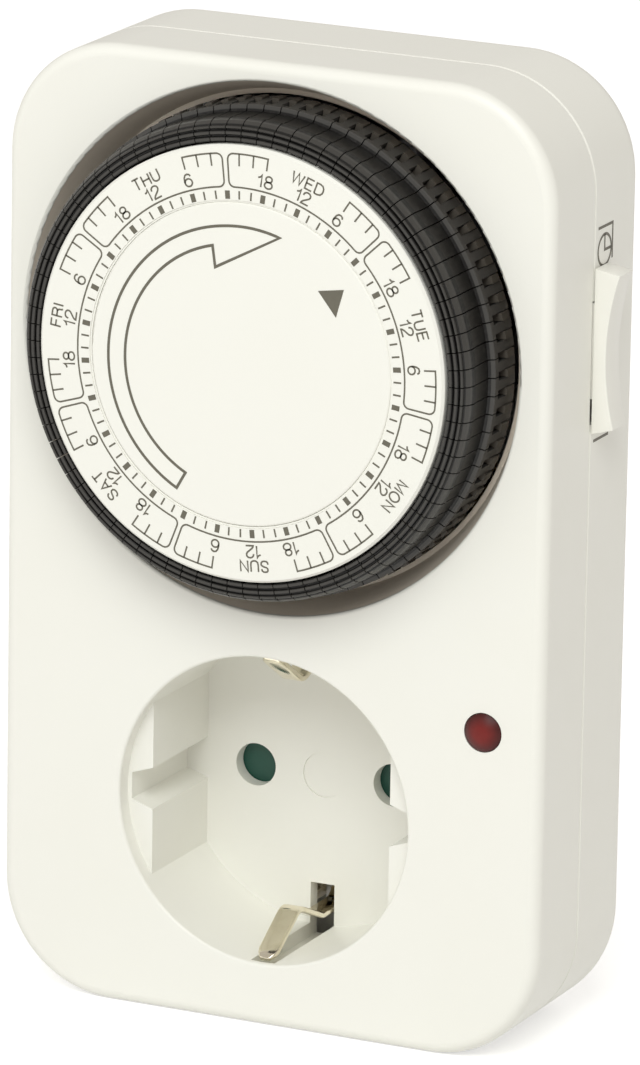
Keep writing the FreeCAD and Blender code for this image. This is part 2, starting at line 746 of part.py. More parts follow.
def make_load_strap():
    """From the blade's clamp, past the switch block, to the live socket sleeve."""
    clamp = box(22.0, 25.6, blade_depth, 12.0, 66.7, blade_pivot_z - 0.05)
    shelf = box(22.0, load_strap_right, 12.0 - contact_strip, inner_back_depth, 66.7,
                66.7 + contact_strip)
    leg_left = load_strap_right - contact_strip_width + 1.0
    half = contact_strip_width / 2
    leg = flat_plate([(leg_left, 66.7 + contact_strip), (leg_left, half), (pin_spacing / 2, half),
                      (pin_spacing / 2, -half), (load_strap_right, -half),
                      (load_strap_right, 66.7 + contact_strip)],
                     inner_back_depth - contact_strip, inner_back_depth)
    seat = rod(pin_radius + 0.05 + sleeve_wall, pin_spacing / 2, 0, sleeve_front_depth - 1,
               inner_back_depth + 1)
    return join(clamp, shelf, leg).cut(seat)


def pin_tab(side, height):
    """Strap end that sits on a plug pin's riveted tail and turns towards the housing."""
    x = side * pin_spacing / 2
    tail_end = housing_depth + plug_length - plug_face_wall - pin_collar_thickness
    tab = box(x - 2.6, x + 2.6, tail_end - contact_strip, tail_end, -2.6, height)
    hole = rod(pin_tail_radius, x, 0, tail_end - 2, tail_end + 1)
    return tab.cut(hole), tail_end


def make_live_strap():
    """From the live plug pin, up the back wall, to the fixed contact of the time switch."""
    x = pin_spacing / 2
    height = 10.0
    tab, tail_end = pin_tab(1, height)
    run = box(x - 2.0, x + 2.0, inner_back_depth - contact_strip, tail_end, height - contact_strip,
              height)
    wall_plate = flat_plate([(x - 2.0, height - contact_strip), (19.6, height - contact_strip),
                             (19.6, 77.4), (25.6, 77.4), (25.6, 81.4), (16.2, 81.4),
                             (16.2, height + 3.0), (x - 2.0, height + 3.0)],
                            inner_back_depth - contact_strip, inner_back_depth)
    riser = box(22.0, 25.6, 14.4, inner_back_depth, 81.4 - contact_strip, 81.4)
    contact = box(22.0, 25.6, 14.4, 15.0, 77.4, 81.4)
    button = rod(1.4, 23.8, 79.2, 13.55, 14.4)
    return join(tab, run, wall_plate, riser, contact, button)


def make_neutral_strap():
    """From the neutral plug pin straight back to the neutral socket sleeve."""
    x = -pin_spacing / 2
    height = 6.4
    tab, tail_end = pin_tab(-1, height)
    sleeve_back = sleeve_front_depth + sleeve_length
    run = box(x - 2.0, x + 2.0, sleeve_back - contact_strip, tail_end, height - contact_strip,
              height)
    foot = box(x - 2.0, x + 2.0, sleeve_back - contact_strip, sleeve_back, 0, height)
    seat = rod(pin_radius + 0.05 + sleeve_wall, x, 0, sleeve_front_depth, sleeve_back + 1)
    return join(tab, run, foot).cut(seat)


def make_sleeve(side):
    x = side * pin_spacing / 2
    back = sleeve_front_depth + sleeve_length
    body = tube(pin_radius + 0.05, pin_radius + 0.05 + sleeve_wall, x, 0, sleeve_front_depth, back)
    slit = box(x - sleeve_slot / 2, x + sleeve_slot / 2, sleeve_front_depth - 1,
               back - 2.5, -4, 0)
    return body.cut(slit)


def make_socket_earth_clip():
    """Both socket earth springs, bent from one strip that crosses behind the shutter cover."""
    back = inner_back_depth
    upper = [(1.6, 19.9), (8.8, 15.2), (15.6, 18.0), (back, 18.0)]
    lower = [(depth, -z) for depth, z in reversed(upper)]
    half = earth_strip_width / 2
    return folded_strip(upper + lower, earth_strip, -half, half, 1.6)


def make_plug_earth_spring(side):
    start = inner_back_depth
    path = [(start, 16.8), (start + 5.0, 16.8), (start + 10.5, 18.2), (start + 16.5, 16.9)]
    half = earth_strip_width / 2 + 0.5
    spring = folded_strip([(depth, side * z) for depth, z in path], -earth_strip * side, -half,
                          half, 3.0)
    return spring


def make_shutter():
    back = shutter_front_depth + shutter_thickness
    hub = rod(3.4, 0, 0, shutter_front_depth, back)
    wing_profile = [(2.8, shutter_front_depth), (shutter_reach, shutter_front_depth),
                    (shutter_reach, back), (2.8, back)]
    wings = [spun(wing_profile, 0, 0, 2 * shutter_half_angle, start - shutter_half_angle)
             for start in (0.0, 180.0)]
    lug = turned(box(2.0, 8.6, shutter_front_depth, back, -0.8, 0.8), 0, 0, 86.5)
    bore = rod(shutter_pivot_radius + running_clearance, 0, 0, 0, back + 1)
    return join(hub, lug, *wings).cut(bore)


def make_shutter_cover():
    plate = rod(cover_radius, 0, 0, cover_front_depth, cover_back_depth)
    rim = tube(cover_radius - cover_rim, cover_radius, 0, 0, cup_back_depth, cover_front_depth)
    cuts = [rod(shutter_pivot_radius + 0.05, 0, 0, cup_back_depth, cover_back_depth + 1)]
    for side in (-1, 1):
        cuts.append(rod(cover_hole_radius, side * pin_spacing / 2, 0, cup_back_depth,
                        cover_back_depth + 1))
        low, high = sorted((side * (earth_slot_inner + 1.0), side * (cover_radius + 1)))
        cuts.append(box(-earth_slot_width / 2 - 0.4, earth_slot_width / 2 + 0.4,
                        cup_back_depth - 1, cover_back_depth + 1, low, high))
    return join(plate, rim).cut(cuts)


def make_shutter_spring():
    """Torsion spring on its peg: a coil and two legs."""
    pitch = 2.2 * spring_wire
    turns = 2.0
    front = shutter_front_depth + spring_wire
    helix = Part.makeHelix(pitch, pitch * turns, spring_coil_radius)
    section = Part.Wire(Part.makeCircle(spring_wire, V(spring_coil_radius, 0, 0), V(0, 1, 0)))
    coil = helix.makePipeShell([section], True, True)
    coil.rotate(V(0, 0, 0), V(1, 0, 0), -90)
    coil.translate(at(0, front, spring_peg_z))
    legs = [Part.makeCylinder(spring_wire, 4.2, at(spring_coil_radius, front, spring_peg_z),
                              V(0, 0, -1)),
            Part.makeCylinder(spring_wire, 2.2,
                              at(spring_coil_radius, front + pitch * turns, spring_peg_z),
                              V(0, 0, 1))]
    return coil.fuse(legs)


def make_lamp_resistor():
    body = rod(1.1, lamp_x + 1.1, lamp_z, wall + 9.5, wall + 15.5)
    front_lead = rod(0.3, lamp_x + 1.1, lamp_z, wall + 7.0, wall + 9.5)
    back_lead = rod(0.3, lamp_x + 1.1, lamp_z, wall + 15.5, inner_back_depth - contact_strip)
    return join(body, front_lead, back_lead)


def make_nodes():
    """Every separate piece, by node name."""
    nodes = {
        "front_housing": make_front_housing(),
        "back_housing": make_back_housing(),
        "live_plug_pin": make_pin(1),
        "neutral_plug_pin": make_pin(-1),
        "movement_plate": make_movement_plate(),
        "dial_post": make_dial_post(),
        "centre_disc": make_centre_disc(),
        "scale_ring": make_scale_ring(),
        "dial_wheel": make_dial_wheel(),
        "reduction_gear": make_reduction_gear(),
        "gear_shaft": make_gear_shaft(),
        "motor_pinion": make_motor_pinion(),
        "motor_can": make_motor_can(),
        "motor_cover": make_motor_cover(),
        "motor_coil": make_motor_coil(),
        "motor_rotor": make_motor_rotor(),
        "lamp_lens": make_lamp_lens(),
        "neon_bulb": make_neon_bulb(),
        "lamp_resistor": make_lamp_resistor(),
        "side_switch": make_side_switch(),
        "trip_lever": make_trip_lever(),
        "lever_pin": make_lever_pin(),
        "switch_base": make_switch_base(),
        "moving_contact": make_moving_contact(),
        "live_strap": make_live_strap(),
        "load_strap": make_load_strap(),
        "neutral_strap": make_neutral_strap(),
        "live_socket_sleeve": make_sleeve(1),
        "neutral_socket_sleeve": make_sleeve(-1),
        "socket_earth_clip": make_socket_earth_clip(),
        "plug_earth_spring_top": make_plug_earth_spring(1),
        "plug_earth_spring_bottom": make_plug_earth_spring(-1),
        "child_shutter": make_shutter(),
        "shutter_spring": make_shutter_spring(),
        "shutter_cover": make_shutter_cover(),
        "housing_screws": Part.makeCompound([housing_screw(x, z) for x, z in screw_places()]),
        "movement_screws": Part.makeCompound([movement_screw(x, z) for x, z in support_places()]),
    }
    for day, name in enumerate(day_names):
        nodes["tappets_" + name] = make_tappets(day)
    return nodes


os.makedirs("parts", exist_ok=True)
for node_name, shape in make_nodes().items():
    if not shape.isValid() or not shape.Solids:
        raise RuntimeError("bad solid in " + node_name)
    shape.exportStep("parts/" + node_name + ".step")
    print(node_name, "solids", len(shape.Solids), "volume", round(shape.Volume, 1))
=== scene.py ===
"""Looks of a plug in timer switch: finishes, dial print, side marks and a plain studio."""
import logging
import math
from dataclasses import dataclass, field
from enum import Enum
from typing import Any, Dict, List, Sequence, Tuple, Union

import bmesh
import bpy
from mathutils import Matrix, Vector


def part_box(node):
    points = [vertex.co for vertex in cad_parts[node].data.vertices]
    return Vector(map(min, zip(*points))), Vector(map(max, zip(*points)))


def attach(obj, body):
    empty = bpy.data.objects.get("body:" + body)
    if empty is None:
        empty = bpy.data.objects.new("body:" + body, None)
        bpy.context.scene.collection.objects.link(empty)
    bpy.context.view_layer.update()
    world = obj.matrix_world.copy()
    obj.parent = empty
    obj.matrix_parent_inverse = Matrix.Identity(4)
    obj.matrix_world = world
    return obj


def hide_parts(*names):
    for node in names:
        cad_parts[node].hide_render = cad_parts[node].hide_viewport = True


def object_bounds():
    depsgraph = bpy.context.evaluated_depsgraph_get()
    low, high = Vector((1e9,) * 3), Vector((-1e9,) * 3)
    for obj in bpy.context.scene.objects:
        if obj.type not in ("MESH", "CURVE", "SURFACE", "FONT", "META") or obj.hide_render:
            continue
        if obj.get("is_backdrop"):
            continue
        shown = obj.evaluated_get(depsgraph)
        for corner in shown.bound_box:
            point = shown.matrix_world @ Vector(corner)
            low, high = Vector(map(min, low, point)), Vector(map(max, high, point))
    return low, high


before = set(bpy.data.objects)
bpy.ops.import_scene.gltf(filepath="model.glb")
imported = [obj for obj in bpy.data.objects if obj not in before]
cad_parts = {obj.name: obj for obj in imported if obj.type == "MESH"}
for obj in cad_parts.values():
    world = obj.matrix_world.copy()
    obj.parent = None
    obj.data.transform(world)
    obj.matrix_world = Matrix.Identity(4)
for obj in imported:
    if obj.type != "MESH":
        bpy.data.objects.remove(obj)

log = logging.getLogger("timer_switch")

MM = 0.001
PRINT_LIFT = 0.00002
IMAGE_HEIGHT_PX = 1065
NOISE_MIDDLE = 0.5
WAVE_PERIOD = 0.314
BRUSH_STRETCH = 40.0
MIX_FACTOR, MIX_FIRST, MIX_SECOND, MIX_RESULT = 0, 6, 7, 2

Triple = Tuple[float, float, float]
Colour = Triple
Point = Tuple[float, float]
Face = Tuple[int, ...]


class Signal:
    """One output of a shader node that takes part in arithmetic."""

    def __init__(self, graph: "Graph", socket: bpy.types.NodeSocket) -> None:
        """Keeps the graph and the socket."""
        self.graph = graph
        self.socket = socket

    def _with(self, operation: str, first: "Number", second: "Number") -> "Signal":
        """Adds one Math node."""
        return self.graph.node("ShaderNodeMath", {"operation": operation}, {0: first, 1: second})

    def __add__(self, other: "Number") -> "Signal":
        """Sum."""
        return self._with("ADD", self, other)

    __radd__ = __add__

    def __sub__(self, other: "Number") -> "Signal":
        """Difference."""
        return self._with("SUBTRACT", self, other)

    def __rsub__(self, other: "Number") -> "Signal":
        """Difference with the number first."""
        return self._with("SUBTRACT", other, self)

    def __mul__(self, other: "Number") -> "Signal":
        """Product."""
        return self._with("MULTIPLY", self, other)

    __rmul__ = __mul__

    def __truediv__(self, other: "Number") -> "Signal":
        """Quotient."""
        return self._with("DIVIDE", self, other)

    def __rtruediv__(self, other: "Number") -> "Signal":
        """Quotient with the number first."""
        return self._with("DIVIDE", other, self)

    def __gt__(self, other: "Number") -> "Signal":
        """One where this is greater, and zero elsewhere."""
        return self._with("GREATER_THAN", self, other)

    def clamped(self) -> "Signal":
        """The value held between zero and one."""
        return self.graph.node("ShaderNodeClamp", {}, {0: self})

    def rising(self, start: float, steepness: float) -> "Signal":
        """Zero up to a start, then rising with a steepness up to one."""
        return ((self - start) * steepness).clamped()

    def swing(self, share: float) -> "Signal":
        """Swing of a noise to both sides of zero, over a share in all."""
        return (self - NOISE_MIDDLE) * share


Number = Union[float, Signal]


@dataclass(frozen=True)
class Mottle:
    """Soft noise: width of a blob in metres, octaves of finer noise and their strength."""

    size: float
    detail: float = 2.0
    roughness: float = 0.5


class Graph:
    """The node tree of one material."""

    def __init__(self, name: str) -> None:
        """Starts an empty material."""
        self.material = bpy.data.materials.new(name)
        self.material.use_nodes = True
        self.tree = self.material.node_tree
        self.tree.nodes.clear()
        self.output = self.tree.nodes.new("ShaderNodeOutputMaterial")

    def node(self, kind: str, settings: Dict[str, Any], inputs: Dict[Union[int, str], Any],
             output: Union[int, str] = 0) -> Signal:
        """Adds a node.

        Args:
            kind: the node's type name.
            settings: attributes set before anything is linked; stops are a ramp's colours.
            inputs: a value or a signal for each socket, by name or place.
            output: the socket that the returned signal stands for.

        Returns:
            The chosen output.
        """
        made = self.tree.nodes.new(kind)
        for key, value in settings.items():
            if key == "stops":
                self._set_stops(made.color_ramp, value)
            else:
                setattr(made, key, value)
        for key, value in inputs.items():
            if isinstance(value, Signal):
                self.tree.links.new(value.socket, made.inputs[key])
            elif isinstance(value, tuple) and len(value) == 3 and made.inputs[key].type == "RGBA":
                made.inputs[key].default_value = (*value, 1.0)
            else:
                made.inputs[key].default_value = value
        return Signal(self, made.outputs[output])

    @staticmethod
    def _set_stops(ramp: bpy.types.ColorRamp, stops: Sequence[Tuple[float, Colour]]) -> None:
        """Writes a ramp's stops."""
        while len(ramp.elements) < len(stops):
            ramp.elements.new(0.5)
        for element, (place, colour) in zip(ramp.elements, stops):
            element.position = place
            element.color = (*colour, 1.0)

    def place(self) -> Signal:
        """Position on the object, in metres."""
        return self.node("ShaderNodeTexCoord", {}, {}, "Object")

    def stretched(self, scale: Triple) -> Signal:
        """Position on the object with its axes scaled."""
        return self.node("ShaderNodeVectorMath", {"operation": "MULTIPLY"},
                         {0: self.place(), 1: scale})

    def noise(self, mottle: Mottle, vector: Union[Signal, None] = None) -> Signal:
        """Soft noise from zero to one, read at a vector or at the position on the object."""
        return self.node("ShaderNodeTexNoise", {"noise_dimensions": "3D"},
                         {"Vector": vector or self.place(), "Scale": 1.0 / mottle.size,
                          "Detail": mottle.detail, "Roughness": mottle.roughness})

    def mix(self, factor: Number, first: Union[Colour, Signal],
            second: Union[Colour, Signal]) -> Signal:
        """Blend of two colours."""
        return self.node("ShaderNodeMix", {"data_type": "RGBA", "clamp_factor": True},
                         {MIX_FACTOR: factor, MIX_FIRST: first, MIX_SECOND: second}, MIX_RESULT)

    def bump(self, height: Signal, depth: float) -> Signal:
        """Surface normal pushed by a height between zero and one over a depth in metres."""
        return self.node("ShaderNodeBump", {},
                         {"Height": height, "Distance": depth, "Strength": 1.0})

    def surface(self, **sockets: Any) -> bpy.types.Material:
        """Ends the graph in one Principled shader.

        Args:
            sockets: its inputs, with underscores for spaces.

        Returns:
            The finished material.
        """
        inputs = {key.replace("_", " "): value for key, value in sockets.items()}
        shader = self.node("ShaderNodeBsdfPrincipled", {}, inputs, "BSDF")
        self.tree.links.new(shader.socket, self.output.inputs["Surface"])
        return self.material


class Grain(Enum):
    """Direction in which a drawn or brushed metal's lines run."""

    ALONG_X = (BRUSH_STRETCH, 1.0, 1.0)
    ALONG_Y = (1.0, BRUSH_STRETCH, 1.0)
    NONE = (1.0, 1.0, 1.0)


@dataclass(frozen=True)
class MouldedPlastic:
    """Injection-moulded plastic with a fine tool texture."""

    colour: Colour
    tint: Colour
    roughness: float = 0.42
    texture: Mottle = Mottle(0.00028, 2.0, 0.6)
    texture_depth: float = 0.0000035
    texture_gloss: float = 0.06
    flow: Mottle = Mottle(0.021, 3.0, 0.55)
    flow_from: float = 0.42
    flow_steepness: float = 2.2
    flow_share: float = 0.35
    cloud: Mottle = Mottle(0.003)
    cloud_gloss: float = 0.10
    specks: Mottle = Mottle(0.0011, 1.0)
    specks_from: float = 0.73
    specks_share: float = 0.03
    coat: float = 0.0
    coat_roughness: float = 0.12
    specular: float = 0.5

    def material(self, name: str) -> bpy.types.Material:
        """Plastic of this colour."""
        graph = Graph(name)
        flow = graph.noise(self.flow)
        cloud = graph.noise(self.cloud)
        shade = flow.rising(self.flow_from, self.flow_steepness) * self.flow_share
        speck = (graph.noise(self.specks) > self.specks_from) * self.specks_share
        texture = graph.noise(self.texture)
        rough = self.roughness + cloud.swing(self.cloud_gloss) + texture.swing(self.texture_gloss)
        return graph.surface(Base_Color=graph.mix(shade + speck, self.colour, self.tint),
                             Roughness=rough, Specular_IOR_Level=self.specular,
                             Coat_Weight=self.coat, Coat_Roughness=self.coat_roughness,
                             Normal=graph.bump(texture, self.texture_depth))


@dataclass(frozen=True)
class SheetMetal:
    """Plated or drawn metal with fine lines and a dull film here and there."""

    colour: Colour
    film: Colour
    roughness: float = 0.22
    grain: Grain = Grain.NONE
    lines: Mottle = Mottle(0.00016, 2.0, 0.6)
    line_depth: float = 0.000002
    line_gloss: float = 0.10
    patches: Mottle = Mottle(0.0032, 3.0, 0.6)
    patch_steepness: float = 3.0
    patch_share: float = 0.6
    patch_gloss: float = 0.14

    def material(self, name: str) -> bpy.types.Material:
        """Metal of this colour."""
        graph = Graph(name)
        scale = tuple(1.0 / share for share in self.grain.value)
        lines = graph.noise(self.lines, graph.stretched(scale))
        dull = graph.noise(self.patches).rising(NOISE_MIDDLE, self.patch_steepness)
        rough = self.roughness + dull * self.patch_gloss + lines.swing(self.line_gloss)
        return graph.surface(Base_Color=graph.mix(dull * self.patch_share, self.colour, self.film),
                             Metallic=1.0, Roughness=rough,
                             Normal=graph.bump(lines, self.line_depth))


@dataclass(frozen=True)
class LampLens:
    """Deep red moulded lens with a darker rim and a warm middle."""

    colour: Colour = (0.17, 0.012, 0.009)
    rim: Colour = (0.055, 0.005, 0.004)
    rim_from: float = 0.35
    rim_steepness: float = 1.6
    roughness: float = 0.45
    specular: float = 0.3
    swirl: Mottle = Mottle(0.0008)
    swirl_share: float = 0.35
    dimples: Mottle = Mottle(0.0005, 1.0)
    dimple_depth: float = 0.000012

    def material(self, name: str, centre: Vector, radius: float) -> bpy.types.Material:
        """Lens around a centre.

        Args:
            name: the material's name.
            centre: middle of the lens.
            radius: its outer radius.

        Returns:
            The finished material.
        """
        graph = Graph(name)
        away = graph.node("ShaderNodeVectorMath", {"operation": "DISTANCE"},
                          {0: graph.place(), 1: tuple(centre)}, "Value")
        edge = (away / radius).rising(self.rim_from, self.rim_steepness)
        swirl = graph.noise(self.swirl)
        share = (edge + swirl.swing(self.swirl_share)).clamped()
        colour = graph.mix(share, self.colour, self.rim)
        return graph.surface(Base_Color=colour, Roughness=self.roughness,
                             Specular_IOR_Level=self.specular,
                             Normal=graph.bump(graph.noise(self.dimples), self.dimple_depth))


@dataclass(frozen=True)
class PrintInk:
    """Pad-printed ink, a little thinner in places."""

    colour: Colour
    thin: Colour
    roughness: float = 0.5
    patches: Mottle = Mottle(0.0009, 3.0, 0.6)
    thin_from: float = 0.45
    thin_steepness: float = 1.6
    thin_share: float = 0.5
    patch_gloss: float = 0.2
    patch_depth: float = 0.000002

    def material(self, name: str) -> bpy.types.Material:
        """Ink of this colour."""
        graph = Graph(name)
        patchy = graph.noise(self.patches)
        share = patchy.rising(self.thin_from, self.thin_steepness) * self.thin_share
        return graph.surface(Base_Color=graph.mix(share, self.colour, self.thin),
                             Roughness=self.roughness + patchy.swing(self.patch_gloss),
                             Normal=graph.bump(patchy, self.patch_depth))


@dataclass(frozen=True)
class Varnished:
    """Wound copper wire or a painted body under varnish, with fine turns around an axis."""

    colour: Colour
    gap: Colour
    turn: float = 0.0003
    turn_depth: float = 0.00004
    wobble: float = 0.4
    wobble_detail: float = 1.0
    roughness: float = 0.3
    coat: float = 0.4

    def material(self, name: str) -> bpy.types.Material:
        """Turns of this colour."""
        graph = Graph(name)
        bands = graph.node("ShaderNodeTexWave", {"bands_direction": "Y", "wave_profile": "SIN"},
                           {"Vector": graph.place(), "Scale": WAVE_PERIOD / self.turn,
                            "Distortion": self.wobble, "Detail": self.wobble_detail}, "Fac")
        return graph.surface(Base_Color=graph.mix(bands, self.gap, self.colour),
                             Roughness=self.roughness, Coat_Weight=self.coat,
                             Normal=graph.bump(bands, self.turn_depth))


def arc(radius: float, start: float, end: float, step: float = 1.5,
        centre: Point = (0.0, 0.0)) -> List[Point]:
    """Points along an arc.

    Args:
        radius: the arc's radius.
        start: first angle in degrees.
        end: last angle in degrees.
        step: largest angle between points.
        centre: the arc's centre.

    Returns:
        The points in order.
    """
    count = max(1, math.ceil(abs(end - start) / step))
    angles = [math.radians(start + (end - start) * index / count) for index in range(count + 1)]
    return [(centre[0] + radius * math.cos(a), centre[1] + radius * math.sin(a)) for a in angles]


def polar(radius: float, angle: float) -> Point:
    """Point at a radius and an angle in degrees."""
    return (radius * math.cos(math.radians(angle)), radius * math.sin(math.radians(angle)))


LETTER_STEP = 18


def ellipse(centre_u: float, centre_v: float, half_u: float, half_v: float) -> List[Point]:
    """Closed path of a round letter."""
    angles = [math.radians(LETTER_STEP * index) for index in range(360 // LETTER_STEP + 1)]
    return [(centre_u + half_u * math.cos(a), centre_v + half_v * math.sin(a)) for a in angles]


LETTER_GAP = 0.25
LETTER_STRETCH = 1.2
LETTERS: Dict[str, Tuple[float, List[List[Point]]]] = {
    "1": (0.27, [[(0.0, 0.74), (0.17, 0.81), (0.27, 1.0), (0.27, 0.0)]]),
    "2": (0.55, [[(0.0, 0.68), (0.04, 0.86), (0.15, 0.97), (0.28, 1.0), (0.42, 0.96),
                  (0.52, 0.84), (0.53, 0.70), (0.47, 0.56), (0.30, 0.40), (0.12, 0.24),
                  (0.02, 0.10), (0.0, 0.0), (0.55, 0.0)]]),
    "6": (0.56, [[(0.52, 0.80), (0.44, 0.95), (0.29, 1.0), (0.14, 0.94), (0.04, 0.74),
                  (0.0, 0.48), (0.01, 0.31)], ellipse(0.28, 0.31, 0.27, 0.31)]),
    "8": (0.56, [ellipse(0.28, 0.76, 0.23, 0.24), ellipse(0.28, 0.27, 0.28, 0.27)]),
    "A": (0.68, [[(0.0, 0.0), (0.34, 1.0), (0.68, 0.0)], [(0.12, 0.34), (0.56, 0.34)]]),
    "D": (0.65, [[(0.0, 0.0), (0.0, 1.0), (0.28, 1.0), (0.50, 0.92), (0.62, 0.72), (0.65, 0.5),
                  (0.62, 0.28), (0.50, 0.08), (0.28, 0.0), (0.0, 0.0)]]),
    "E": (0.56, [[(0.56, 1.0), (0.0, 1.0), (0.0, 0.0), (0.58, 0.0)],
                 [(0.0, 0.53), (0.50, 0.53)]]),
    "F": (0.50, [[(0.52, 1.0), (0.0, 1.0), (0.0, 0.0)], [(0.0, 0.52), (0.46, 0.52)]]),
    "H": (0.60, [[(0.0, 0.0), (0.0, 1.0)], [(0.6, 0.0), (0.6, 1.0)], [(0.0, 0.52), (0.6, 0.52)]]),
    "I": (0.05, [[(0.02, 0.0), (0.02, 1.0)]]),
    "M": (0.72, [[(0.0, 0.0), (0.0, 1.0), (0.36, 0.05), (0.72, 1.0), (0.72, 0.0)]]),
    "N": (0.60, [[(0.0, 0.0), (0.0, 1.0), (0.6, 0.0), (0.6, 1.0)]]),
    "O": (0.72, [ellipse(0.36, 0.5, 0.36, 0.5)]),
    "R": (0.60, [[(0.0, 0.0), (0.0, 1.0), (0.36, 1.0), (0.50, 0.96), (0.57, 0.85), (0.57, 0.70),
                  (0.50, 0.58), (0.36, 0.53), (0.0, 0.53)],
                 [(0.36, 0.53), (0.48, 0.47), (0.53, 0.36), (0.55, 0.10), (0.60, 0.0)]]),
    "S": (0.56, [[(0.54, 0.72), (0.50, 0.88), (0.40, 0.98), (0.27, 1.0), (0.12, 0.97),
                  (0.03, 0.86), (0.03, 0.70), (0.12, 0.59), (0.30, 0.53), (0.46, 0.46),
                  (0.56, 0.34), (0.55, 0.16), (0.45, 0.04), (0.28, 0.0), (0.12, 0.03),
                  (0.02, 0.13), (0.0, 0.30)]]),
    "T": (0.60, [[(0.0, 1.0), (0.6, 1.0)], [(0.3, 1.0), (0.3, 0.0)]]),
    "U": (0.60, [[(0.0, 1.0), (0.0, 0.34), (0.04, 0.14), (0.15, 0.03), (0.3, 0.0), (0.45, 0.03),
                  (0.56, 0.14), (0.6, 0.34), (0.6, 1.0)]]),
    "W": (0.95, [[(0.0, 1.0), (0.23, 0.0), (0.475, 1.0), (0.72, 0.0), (0.95, 1.0)]]),
}


SAME_PLACE = 1e-9
MITRE_LIMIT = 0.5


class Ribbon:
    """Flat print built from strips, sectors and letters in the plane of a face."""

    def __init__(self, name: str) -> None:
        """Starts an empty print."""
        self.name = name
        self.points: List[Point] = []
        self.faces: List[Face] = []

    def polygon(self, corners: Sequence[Point]) -> None:
        """Adds one filled outline."""
        first = len(self.points)
        self.points.extend(corners)
        self.faces.append(tuple(range(first, first + len(corners))))

    def stroke(self, path: Sequence[Point], width: float, closed: bool = False) -> None:
        """Adds a line of even width along a path.

        Args:
            path: the middle of the line.
            width: its width.
            closed: joins the last point to the first.
        """
        count = len(path)
        first = len(self.points)
        for index, (u, v) in enumerate(path):
            before = path[index - 1] if index or closed else path[index]
            after = path[(index + 1) % count] if index + 1 < count or closed else path[index]
            into = Vector((u - before[0], v - before[1]))
            out = Vector((after[0] - u, after[1] - v))
            if into.length < SAME_PLACE:
                into = out
            if out.length < SAME_PLACE:
                out = into
            into.normalize()
            out.normalize()
            along = (into + out).normalized()
            reach = width / 2 / max(MITRE_LIMIT, along.dot(into))
            side = Vector((-along.y, along.x)) * reach
            self.points.append((u + side.x, v + side.y))
            self.points.append((u - side.x, v - side.y))
        for index in range(count if closed else count - 1):
            low = first + 2 * index
            high = first + 2 * ((index + 1) % count)
            self.faces.append((low, low + 1, high + 1, high))

    def text(self, words: str, centre: Point, angle: float, height: float, line: float) -> None:
        """Adds plain lettering of even strokes.

        Args:
            words: what it says.
            centre: its middle.
            angle: direction of the letters' tops, in degrees from the first axis.
            height: height of the capitals.
            line: width of a stroke.
        """
        widths = [LETTERS[letter][0] for letter in words]
        total = sum(widths) + LETTER_GAP * (len(words) - 1)
        top = Vector(polar(1.0, angle))
        right = Vector((top.y, -top.x))
        tall = height - line
        left = -total / 2
        for letter, width in zip(words, widths):
            for path in LETTERS[letter][1]:
                spots = [right * ((left + u) * tall * LETTER_STRETCH) + top * ((v - 0.5) * tall)
                         for u, v in path]
                self.stroke([(centre[0] + spot.x, centre[1] + spot.y) for spot in spots], line)
            left += width + LETTER_GAP

    def object(self, to_space: Matrix, material: bpy.types.Material) -> bpy.types.Object:
        """Makes the print's mesh.

        Args:
            to_space: takes the flat points to their place.
            material: the ink.

        Returns:
            The new object.
        """
        points = [to_space @ Vector((u, v, 0.0)) for u, v in self.points]
        return new_piece(self.name, points, self.faces, material)


def facing_user(x: float, y: float, z: float) -> Matrix:
    """Turns flat points into a plane that faces the user, with the second axis up."""
    return Matrix(((1, 0, 0, x), (0, 0, -1, y), (0, 1, 0, z), (0, 0, 0, 1)))


def facing_right(x: float, y: float, z: float) -> Matrix:
    """Turns flat points into a plane that faces right, with the first axis back and second up."""
    return Matrix(((0, 0, 1, x), (1, 0, 0, y), (0, 1, 0, z), (0, 0, 0, 1)))


def dress(material: bpy.types.Material, *nodes: str) -> None:
    """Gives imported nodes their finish."""
    for node in nodes:
        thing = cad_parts[node]
        for slot in thing.material_slots:
            slot.material = material
        if not thing.material_slots:
            thing.data.materials.append(material)
        log.info("%s wears %s", node, material.name)


def new_piece(name: str, points: Sequence[Vector], faces: Sequence[Face],
              material: bpy.types.Material) -> bpy.types.Object:
    """Makes a piece from points and faces.

    Args:
        name: the piece's name.
        points: its corners.
        faces: its faces.
        material: its finish.

    Returns:
        The new object.
    """
    mesh = bpy.data.meshes.new(name)
    mesh.from_pydata(points, [], faces)
    mesh.validate()
    mesh.materials.append(material)
    made = bpy.data.objects.new(name, mesh)
    bpy.context.scene.collection.objects.link(made)
    return made


@dataclass(frozen=True)
class DialAxis:
    """Axis of the dial, with depths counted back from a front plane."""

    middle: Vector
    front: float

    def at(self, radius: float, depth: float, angle: float) -> Vector:
        """Point at a radius, a depth and an angle in radians."""
        return Vector((self.middle.x + radius * math.cos(angle), self.front + depth,
                       self.middle.z + radius * math.sin(angle)))


